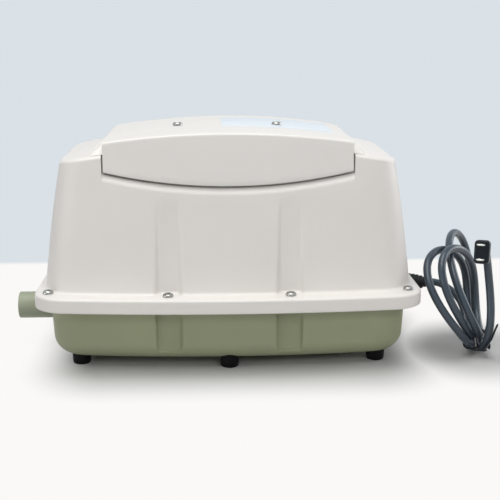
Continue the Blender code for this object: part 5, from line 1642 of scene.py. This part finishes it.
@dataclass
class FilterLid:
    """The saddle lid over the filter, with its label film and the foam pad under it."""

    wall: float = 0.003
    shoulder: float = 0.0015
    top_blend: float = 0.0016
    end_slope: float = 0.009
    end_step: float = 0.0012
    end_setback: float = 0.0042
    end_lean: float = 0.9
    end_rim: float = 0.0028
    edge: float = 0.0022
    edge_share: float = 0.6
    edge_rows: int = 7
    end_edge: float = 0.0022
    side_rows: int = 5
    apron_edge: float = 0.0008
    apron_columns: int = 57
    apron_rows: int = 7
    label_x: Pair = (-0.006, 0.100)
    label_y: Pair = (-0.026, 0.056)
    label_round: float = 0.003
    label_thick: float = 0.00012
    label_seat: float = 0.00001
    label_edge: float = 0.0001
    label_rim: float = 0.7
    label_margin: float = 0.01
    label_columns: int = 17
    pad_length: float = 0.190
    pad_depth: float = 0.112
    pad_hole: float = 0.0066
    pad_pitch: float = 0.002
    pad_draw: float = 0.6
    pad_soft: float = 0.0016
    pad_swell: float = 0.00022
    pad_waves: tuple[Pair, Pair] = ((410.0, 130.0), (-90.0, 350.0))

    END_SHARES = (0.04, 0.08, 0.115, 0.15, 0.2, 0.28, 0.37, 0.47, 0.57, 0.67, 0.76, 0.84, 0.9, 0.94, 0.97,
                  0.99, 1.0)
    TOP_SHARES = (0.15, 0.4, 0.7, 1.0)

    def __post_init__(self) -> None:
        """Work out the lid's three half lengths."""
        self.apron = HOUSING.apron_length / 2
        self.top = self.apron + self.shoulder
        self.skirt = self.top + self.end_slope

    def _rest(self, x: float) -> float:
        """Height at which the lid sits on the deck at x."""
        return HOUSING.cover_arch(x) + FIT

    def _top(self, x: float) -> float:
        """Height of the lid's outside at x, down its sloped ends.

        Args:
            x: Place along the lid.

        Returns:
            The height.
        """
        at = abs(x)
        end_top = self._rest(self.skirt) + self.end_rim
        start = HOUSING.lid_arch(self.top)
        slope = (end_top - start) / (self.skirt - self.top)
        height = soft_min(HOUSING.lid_arch(at), start + (at - self.top) * slope, self.top_blend)
        return height - self.end_edge * fall(clamp((at - self.skirt + self.end_edge) / self.end_edge))

    def _half(self, x: float, z: float) -> float:
        """Half depth of the lid at x and z, set back and hipped beyond the apron.

        Args:
            x: Place along the lid.
            z: Height.

        Returns:
            The half depth.
        """
        past = clamp((abs(x) - self.apron) / self.end_step)
        rise = max(0.0, z - self._rest(x))
        return HOUSING.cover_wall_y(x, z) - past * (self.end_setback + self.end_lean * rise)

    def _stations(self) -> list[float]:
        """Places along the lid, close together at its ends."""
        side = [self.apron + (self.skirt - self.apron) * t for t in self.END_SHARES]
        return [-x for x in reversed(side)] + spread(-self.apron, self.apron, self.apron_columns) + side

    def _section(self, x: float, inset: float, at: float) -> list[Vector]:
        """Front half of the lid's section at x, from its seat to the middle.

        Args:
            x: Place whose shape is taken.
            inset: Distance inside the outer shape.
            at: Place where the points stand.

        Returns:
            The points.
        """
        low = self._rest(x)
        top = max(self._top(x) - inset, low + FIT)
        r = min(self.edge, (top - low) * self.edge_share)
        points = [(self._half(x, z) - inset, z) for z in spread(low, top - r, self.side_rows)]
        y = points[-1][0]
        points += [(y - r * (1 - c), top - r + r * s) for s, c in quarter(self.edge_rows)[1:]]
        y = points[-1][0]
        points += [(y * (1 - t), top) for t in self.TOP_SHARES]
        return [Vector((at, -y, z)) for y, z in points]

    def _apron(self, x: float) -> list[Vector]:
        """The apron's section at x, from its inner side, round its lower edge, to its outer side.

        Args:
            x: Place along the lid.

        Returns:
            The points.
        """
        low, rest, r = HOUSING.apron_low(x), self._rest(x), self.apron_edge
        heights = spread(rest, low + r, self.apron_rows)
        inner = [(self._half(x, z) - self.wall, z) for z in heights]
        outer = [(self._half(x, z), z) for z in reversed(heights)]
        mouth, cut = self._half(x, low), r * CHAMFER
        back = mouth - self.wall
        under = [(back + cut, low + cut), (back + r, low), (mouth - r, low), (mouth - cut, low + cut)]
        return [Vector((x, -y, z)) for y, z in inner + under + outer]

    def build(self) -> None:
        """Make the lid, its bare label film and the pad."""
        stations = self._stations()
        outer = [self._section(x, 0.0, x) for x in stations]
        inner, pull = [], self.wall / (self.skirt - self.apron)
        for x in stations:
            past = max(abs(x) - self.apron, 0.0)
            inner.append(self._section(x, self.wall, x - math.copysign(past * pull, x)))
        skin = Skin()
        skin.grid(outer)
        skin.grid(inner)
        sections = [self._apron(x) for x in stations if abs(x) <= self.apron + NEAR]
        skin.grid(sections)
        for section in (sections[0], sections[-1]):
            skin.cap(section)
        rim = [[o[0] for o in outer], [i[0] for i in inner]]
        skin.grid(rim, keep=lambda r, c: max(abs(stations[c]), abs(stations[c + 1])) > self.apron + NEAR)
        for k in (0, -1):
            for row in (outer[k], inner[k], [outer[k][0], inner[k][0]]):
                skin.grid([row, [Vector((p.x, 0, p.z)) for p in row]])
        skin.mirrored()
        add_piece("filter_lid", skin.mesh(crease=32), LID_ABS, Body.LID, ["filter_cover"])
        self._label()
        self._pad()

    def _label(self) -> None:
        """Lay the bare label film on the lid's top."""
        radius, (x0, x1), (y0, y1) = self.label_round, self.label_x, self.label_y
        near = (0.0, radius * CHAMFER, radius)
        middle = spread(x0 + self.label_margin, x1 - self.label_margin, self.label_columns)
        xs = [x0 + d for d in near] + middle + [x1 - d for d in reversed(near)]
        rows = []
        top = self.label_thick
        for lift, inset in ((self.label_seat, 0.0), (top * self.label_rim, 0.0), (top, self.label_edge)):
            far_side, near_side = [], []
            for x in xs:
                back = radius * fall(1 - clamp(min(x - x0, x1 - x) / radius)) + inset
                at = clamp(x, x0 + inset, x1 - inset)
                z = HOUSING.lid_arch(at) + lift
                far_side.append(Vector((at, y1 - back, z)))
                near_side.append(Vector((at, y0 + back, z)))
            rows.append(far_side + near_side[::-1])
        skin = Skin()
        skin.grid(rows, loop=True)
        for row in (rows[0], rows[-1]):
            skin.cap(row)
        add_piece("bare_label_film", skin.mesh(crease=50), LABEL_FILM, Body.LID)

    def _from_hole(self, x: float, y: float) -> float:
        """Distance in plan from the edge of the nearer boss's hole in the pad."""
        return min(math.hypot(x - boss, y) for boss in (-HOUSING.boss_x, HOUSING.boss_x)) - self.pad_hole

    def _pad_spot(self, x: float, y: float) -> Pair:
        """A plan point of the pad, drawn onto a hole's edge where one is near.

        Args:
            x: Place along the pad.
            y: Place across the pad.

        Returns:
            The point.
        """
        boss = math.copysign(HOUSING.boss_x, x)
        away = math.hypot(x - boss, y)
        if abs(away - self.pad_hole) < self.pad_draw * self.pad_pitch:
            x, y = boss + (x - boss) * self.pad_hole / away, y * self.pad_hole / away
        return x, y

    def _pad_level(self, x: float, y: float, up: bool) -> Vector:
        """A point on the pad, softened towards its edges and a little uneven.

        Args:
            x: Place along the pad.
            y: Place across the pad.
            up: Whether it is on the upper side.

        Returns:
            The point.
        """
        inner = min(self.pad_length / 2 - abs(x), self.pad_depth / 2 - abs(y), self._from_hole(x, y))
        pull = self.pad_soft * fall(1 - clamp(inner / (3 * self.pad_soft)))
        swell = self.pad_swell * math.prod(math.sin(x * a + y * b) for a, b in self.pad_waves)
        if up:
            return Vector((x, y, HOUSING.lid_arch(x) - self.wall - 2 * FIT - pull + swell))
        return Vector((x, y, HOUSING.cover_arch(x) + 2 * FIT + pull + swell))

    def _pad(self) -> None:
        """Lay the foam pad between the deck and the lid, with a hole for each boss."""
        pitch, half_x, half_y = self.pad_pitch, self.pad_length / 2, self.pad_depth / 2
        along, across = round(self.pad_length / pitch), round(self.pad_depth / pitch)
        spots = {(i, j): self._pad_spot(i * pitch - half_x, j * pitch - half_y)
                 for i in range(along + 1) for j in range(across + 1)}
        quads = [((i, j), (i + 1, j), (i + 1, j + 1), (i, j + 1))
                 for i in range(along) for j in range(across)]
        quads = [cells for cells in quads if all(self._from_hole(*spots[c]) > -10 * NEAR for c in cells)]
        edges = [(a, b) for cells in quads for a, b in zip(cells, cells[1:] + cells[:1])]
        known = set(edges)
        skin = Skin()
        for up in (False, True):
            for cells in quads:
                skin.disc([self._pad_level(*spots[c], up) for c in cells])
        for a, b in edges:
            if (b, a) not in known:
                corners = ((a, False), (b, False), (b, True), (a, True))
                skin.disc([self._pad_level(*spots[c], up) for c, up in corners])
        pad = add_piece("filter_pad", skin.mesh(crease=60), FILTER_FOAM, Body.FILTER, ["filter_element"])


@dataclass
class BaseTank:
    """The olive base: pan with its flutes, outlet pipe and rubber feet."""

    length: float = 0.3336
    depth: float = 0.176
    corner: float = 0.030
    least_corner: float = 0.004
    draft: float = 0.0025
    edge_radius: float = 0.018
    rim_fillet: float = 0.0016
    rim_rows: int = 4
    spine_half: float = 0.1
    wall: float = 0.0044
    wall_rows: int = 15
    wall_foot: float = 0.012
    floor: float = 0.004
    floor_round: float = 0.6
    middle_marks: Pair = (0.008, 0.032)
    middle_columns: int = 4
    side_marks: Pair = (0.080, 0.114)
    side_columns: int = 9
    flute_depth: float = 0.0066
    flute_slope: float = 0.45
    flute_end: float = 0.0142
    flute_close: float = 0.0046
    foot_x: float = 0.1395
    foot_y: float = 0.056
    middle_foot_y: float = 0.071
    foot_radius: float = 0.0086
    foot_height: float = 0.0180
    foot_dimple: float = 0.0005
    foot_flare: float = 0.0035
    foot_hollow: Pair = (0.45, 0.5)
    foot_sole: Pair = (0.7, 0.93)
    foot_top: float = 0.6
    foot_rounds: tuple[float, ...] = (0.0009, 0.001, 0.0006)
    pipe_z: float = 0.0404
    pipe_radius: float = 0.013
    pipe_bore: float = 0.010
    pipe_reach: float = 0.206
    pipe_start: float = 0.1524
    pipe_round: float = 0.0007
    pipe_plain: float = 0.002
    end_zone: float = 0.012

    def _half(self, z: float) -> tuple[float, float, float]:
        """Half length, half depth and corner of the pan's outside at a height."""
        drawn = self.draft * (HOUSING.base_top - z) / (HOUSING.base_top - HOUSING.base_low)
        return self.length / 2 - drawn, self.depth / 2 - drawn, self.corner

    def _point(self, column: Column, z: float, inset: float, behind: float = 0.0) -> Vector:
        """A point on the pan, drawn in from its plain wall.

        Args:
            column: The column.
            z: Height.
            inset: Distance inwards.
            behind: Distance behind the flutes' outer floor.

        Returns:
            The point.
        """
        half_x, half_y, corner = self._half(z)
        x, y = column.place(half_x - inset, half_y - inset, max(corner - inset, self.least_corner))
        if column.stretch is Stretch.FRONT:
            side_x, side_y, _ = self._half(HOUSING.base_top - HOUSING.base_flange)
            bow = HOUSING.side_bow * (HOUSING.screw_x / side_x) ** 2
            floor = side_y - bow - self.flute_depth - behind
            closed = 1 - ease(clamp((z - self.flute_end) / self.flute_close))
            floor += closed * (-y - floor + self.flute_depth)
            y = -HOUSING.fluted(x, -y, floor, self.flute_depth, self.flute_slope)
        return Vector((x, y, z))

    def _pan(self, column: Column) -> list[Vector]:
        """One column of the pan, from the middle of its inner floor, over its rim, to that of its underside.

        Args:
            column: The column.

        Returns:
            The points.
        """
        low, top, floor = HOUSING.base_low, HOUSING.base_top, HOUSING.base_low + self.floor
        under, fillet, r = top - HOUSING.base_flange, self.rim_fillet, self.edge_radius
        inner = self._point(column, floor, self.wall + r * self.floor_round)
        points = [Vector((clamp(inner.x, -self.spine_half, self.spine_half), 0, floor)), inner]
        points += [self._point(column, z, self.wall, self.wall) for z in (floor + self.wall_foot, under, top)]
        points += [column.on_flange(HOUSING.skirt_wall + FIT, z) for z in (top, under)]
        turn = quarter(self.rim_rows)
        points += [self._point(column, under - fillet * (1 - c), -fillet * (1 - s)) for s, c in turn]
        points += [self._point(column, z, 0.0) for z in spread(under - fillet, low + r, self.wall_rows)[1:-1]]
        points += [self._point(column, low + r * (1 - s), r * (1 - c)) for s, c in quarter(self.wall_rows)]
        middle = Vector((clamp(points[-1].x, -self.spine_half, self.spine_half), 0, low))
        return points + [points[-1].lerp(middle, 0.5), middle]

    def build(self) -> None:
        """Make the pan, the outlet pipe and the feet."""
        marks = {0.0, *spread(*self.middle_marks, self.middle_columns)} | HOUSING.flute_marks()
        marks |= set(spread(*self.side_marks, self.side_columns))
        columns = Column.row(marks, end_steps=25)
        skin = Skin()
        skin.grid(list(zip(*[self._pan(c) for c in columns])))
        self._open_pipe_hole(skin)
        skin.mirrored()
        add_piece("base_pan", skin.mesh(crease=32), OLIVE_PAINT, Body.PUMP, ["base_tank"])
        self._pipe()
        self._feet()

    def _open_pipe_hole(self, skin: Skin) -> None:
        """Open the left end's outer wall where the pipe passes.

        Args:
            skin: The front half of the pan.
        """
        radius, end = (self.pipe_radius + self.pipe_bore) / 2, self.end_zone - self.length / 2
        lost = {i for i, (x, y, z) in enumerate(skin.points)
                if x < end and z < HOUSING.base_top and math.hypot(y, z - self.pipe_z) < radius}
        skin.faces = [face for face in skin.faces if not lost.intersection(face)]

    def _pipe(self) -> None:
        """Turn the outlet pipe."""
        r, bore, start, end = self.pipe_radius, self.pipe_bore, self.pipe_start, self.pipe_reach
        plain = start + self.pipe_plain
        section = [(bore, start), (r, start)]
        mouth = [(r, plain), (r, end), (bore, end), (bore, plain)]
        section += softened(mouth, [self.pipe_round] * 2, steps=5) + [(bore, start)]
        skin = Skin()
        base = Matrix.Translation((0, 0, self.pipe_z)) @ Matrix.Rotation(-math.pi / 2, 4, "Y")
        skin.turned(section, base, steps=64)
        # Its finish is the pan's olive painted paler: painted light.
        add_piece("outlet_spigot", skin.mesh(crease=32), OLIVE_PIPE_LIT_COPY, Body.PUMP, ["outlet_pipe"])

    def _feet(self) -> None:
        """Seat six copies of one turned foot, a row at the front and one at the back."""
        r, high, dimple = self.foot_radius, self.foot_height, self.foot_dimple
        (hollow, lip), (inner, outer) = self.foot_hollow, self.foot_sole
        section = [(0.0, dimple), (r * hollow, dimple), (r * lip, 0.0)]
        side = [(r * inner, 0.0), (r * outer, 0.0), (r, self.foot_flare), (r, high)]
        section += softened(side + [(r * self.foot_top, high)], self.foot_rounds) + [(0.0, high)]
        shape = Skin()
        shape.turned(section, Matrix.Identity(4), steps=40)
        row = {"left": (-self.foot_x, self.foot_y), "centre": (0.0, self.middle_foot_y),
               "right": (self.foot_x, self.foot_y)}
        seats = [(x, way * y, 0) for way in (-1, 1) for x, y in row.values()]
        most_turn = (0, 0, 2 * math.pi)
        mesh = SeatedCopies().mesh(shape.mesh(crease=40), FOOT_RUBBER, seats, most_turn=most_turn, seed=3)
        nodes = ["foot_" + end + "_" + name for end in ("front", "back") for name in row]
        add_piece("rubber_feet", mesh, FOOT_RUBBER, Body.PUMP, nodes)


@dataclass
class PanScrews:
    """The pan-head screws of the flange and of the lid."""

    head_radius: float = 0.00475
    head_height: float = 0.003
    shank_radius: float = 0.002
    flange_reach: float = 0.0130
    lid_reach: float = 0.0149
    flange_seed: int = 11
    lid_seed: int = 5
    edge: float = 0.0135
    corner_x: float = 0.013
    corner_y: float = 0.0295
    crown_flat: float = 0.26
    crown_edge: float = 0.39
    crown_power: int = 9
    rim: float = 0.0002
    tip: float = 0.0008
    recess_arm: float = 0.0027
    recess_half: float = 0.00075
    recess_depth: float = 0.0016
    recess_side: float = 0.0004
    recess_end: float = 0.0009
    steps: int = 64
    rings: int = 22

    def _shape(self, reach: float) -> Mesh:
        """One screw with a crossed recess in its head.

        Args:
            reach: Length of its shank.

        Returns:
            The screw about its seat.
        """
        rows = []
        for share in spread(0, 1, self.rings + 1):
            drop = self.crown_flat * share ** 2 + self.crown_edge * share ** self.crown_power
            crown, r = self.head_height * (1 - drop), self.head_radius * share
            ring = [(r * c, r * s) for c, s in around(self.steps)]
            rows.append([Vector((x, y, crown - self._recess(x, y))) for x, y in ring])
        skin = Skin()
        skin.grid(rows, loop=True)
        head, shank, rim, tip = self.head_radius, self.shank_radius, self.rim, self.tip
        low = self.head_height * (1 - self.crown_flat - self.crown_edge)
        skin.turned([(head, low), (head, rim), (head - rim, 0.0), (shank, 0.0), (shank, tip - reach),
                     (shank - tip, -reach), (0.0, -reach)], Matrix.Identity(4), self.steps)
        return skin.mesh(crease=40)

    def _recess(self, x: float, y: float) -> float:
        """Depth of the crossed recess at a point of the head."""
        return self.recess_depth * max(self._arm(x, y), self._arm(y, x))

    def _arm(self, along: float, across: float) -> float:
        """How deep one arm of the recess is, from 0 to 1, at a place along and across it."""
        wide = ease(clamp((self.recess_half + self.recess_side / 2 - abs(across)) / self.recess_side))
        return wide * ease(clamp((self.recess_arm - abs(along)) / self.recess_end))

    def build(self) -> None:
        """Seat the flange screws and the lid screws, one piece for each body."""
        half_x, half_y = HOUSING.flange_length / 2, HOUSING.flange_depth / 2
        inner_y = half_y - HOUSING.side_bow * (HOUSING.screw_x / half_x) ** 2 - self.edge
        far_x, far_y = half_x - self.corner_x, half_y - self.corner_y
        front = [(-far_x, -far_y), (-HOUSING.screw_x, -inner_y), (HOUSING.screw_x, -inner_y), (far_x, -far_y)]
        on_flange = [(x, side * y, HOUSING.flange_top + FIT) for side in (1, -1) for x, y in front]
        on_lid = [(x, 0, HOUSING.lid_arch(x) + FIT) for x in (-HOUSING.boss_x, HOUSING.boss_x)]
        flange_nodes = ["flange_screw_%s_%d" % (row, i) for row in ("front", "back") for i in range(1, 5)]
        lid_nodes = ["filter_cover_screw_left", "filter_cover_screw_right"]
        most_turn = (0, 0, math.pi / 2)
        for name, reach, seats, seed, body, nodes in (
                ("flange_screws", self.flange_reach, on_flange, self.flange_seed, Body.PUMP, flange_nodes),
                ("lid_screws", self.lid_reach, on_lid, self.lid_seed, Body.LID, lid_nodes)):
            mesh = SeatedCopies().mesh(self._shape(reach), SCREW_STEEL, seats, most_turn=most_turn, seed=seed)
            add_piece(name, mesh, SCREW_STEEL, body, nodes)


@dataclass
class Diaphragms:
    """The rubber diaphragms, each a rim held by the frame and a hub that moves with the rod."""

    rod_radius: float = 0.0043
    flat_radius: float = 0.0203
    chamber_radius: float = 0.033
    rim_radius: float = 0.040
    thick: float = 0.0025
    roll: float = 0.004
    ramp: float = 0.0032
    part_gap: float = 0.0001
    steps: int = 64

    def build(self) -> None:
        """Make both diaphragms, a rim and a hub for each end of the rod."""
        for end in ("left", "right"):
            node = "diaphragm_" + end
            low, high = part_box(node)
            outward = 1 if low.x > 0 else -1
            seat = Vector((low.x if outward > 0 else high.x, (low.y + high.y) / 2, (low.z + high.z) / 2))
            turn = Vector((outward, 0, 0)).to_track_quat("Z", "Y").to_matrix().to_4x4()
            base = Matrix.Translation(seat) @ turn
            rim = self._shape(self.rim_radius, self.chamber_radius, -1, base)
            add_piece("diaphragm_rim_" + end, rim, INNER_RUBBER, Body.PUMP, [node], placed=True)
            mesh = self._shape(self.rod_radius, self.flat_radius, 1, base)
            hub = add_piece("diaphragm_hub_" + end, mesh, INNER_RUBBER, None, [node], placed=True)
            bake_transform(hub, Body.PUMP.value, Body.ARMATURE.value, start=tuple(base @ Vector((0, 0, self.roll))),
                     end=tuple(base @ Vector((0, 0, self.thick))))

    def _shape(self, edge: float, flat: float, way: int, base: Matrix) -> Mesh:
        """A turned ring that is flat at its free edge and ramps up to the crest of the roll.

        Args:
            edge: Radius of its free edge.
            flat: Radius at which its ramp starts.
            way: 1 where it ramps up outwards, -1 where it ramps up inwards.
            base: Frame whose Z is the rod's axis, outwards.

        Returns:
            The ring's mesh.
        """
        crest = (self.flat_radius + self.chamber_radius) / 2 - way * self.part_gap / 2
        shoulder, top = flat + way * self.ramp, self.roll + self.thick
        section = [(edge, 0.0), (edge, self.thick), (flat, self.thick), (shoulder, top), (crest, top),
                   (crest, self.roll), (shoulder, self.roll), (flat, 0.0), (edge, 0.0)]
        skin = Skin()
        skin.turned(section, base, self.steps)
        return skin.mesh(crease=55)


@dataclass
class DriveInside:
    """The CAD nodes inside the housing, which keep their meshes and get finishes by how their names start."""

    finishes: dict[str, Finish]

    def dress(self) -> None:
        """Give every carried-over node its finish."""
        for name, node in sorted(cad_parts.items()):
            starts = [start for start in self.finishes if name.startswith(start)]
            if not starts:
                continue
            finish = self.finishes[max(starts, key=len)]
            node.data.materials.clear()
            node.data.materials.append(finish.material())
            LOG.info("%s: carried over, %s", name, finish.name)


def main() -> None:
    """Build the pump's pieces in order and dress them."""
    logging.basicConfig(level=logging.INFO, format="%(name)s %(message)s")
    PhotoView().build()
    cord = MainsCord()
    line = cord.build()
    carried = Plug(cord).build() + [CordTie(cord).build()]
    cord.declare()
    CordBoot(cord).build()
    BaseTank().build()
    UpperCover().build()
    FilterLid().build()
    PanScrews().build()
    Diaphragms().build()
    DriveInside(CARRIED_OVER).dress()


if __name__ == "__main__":
    main()
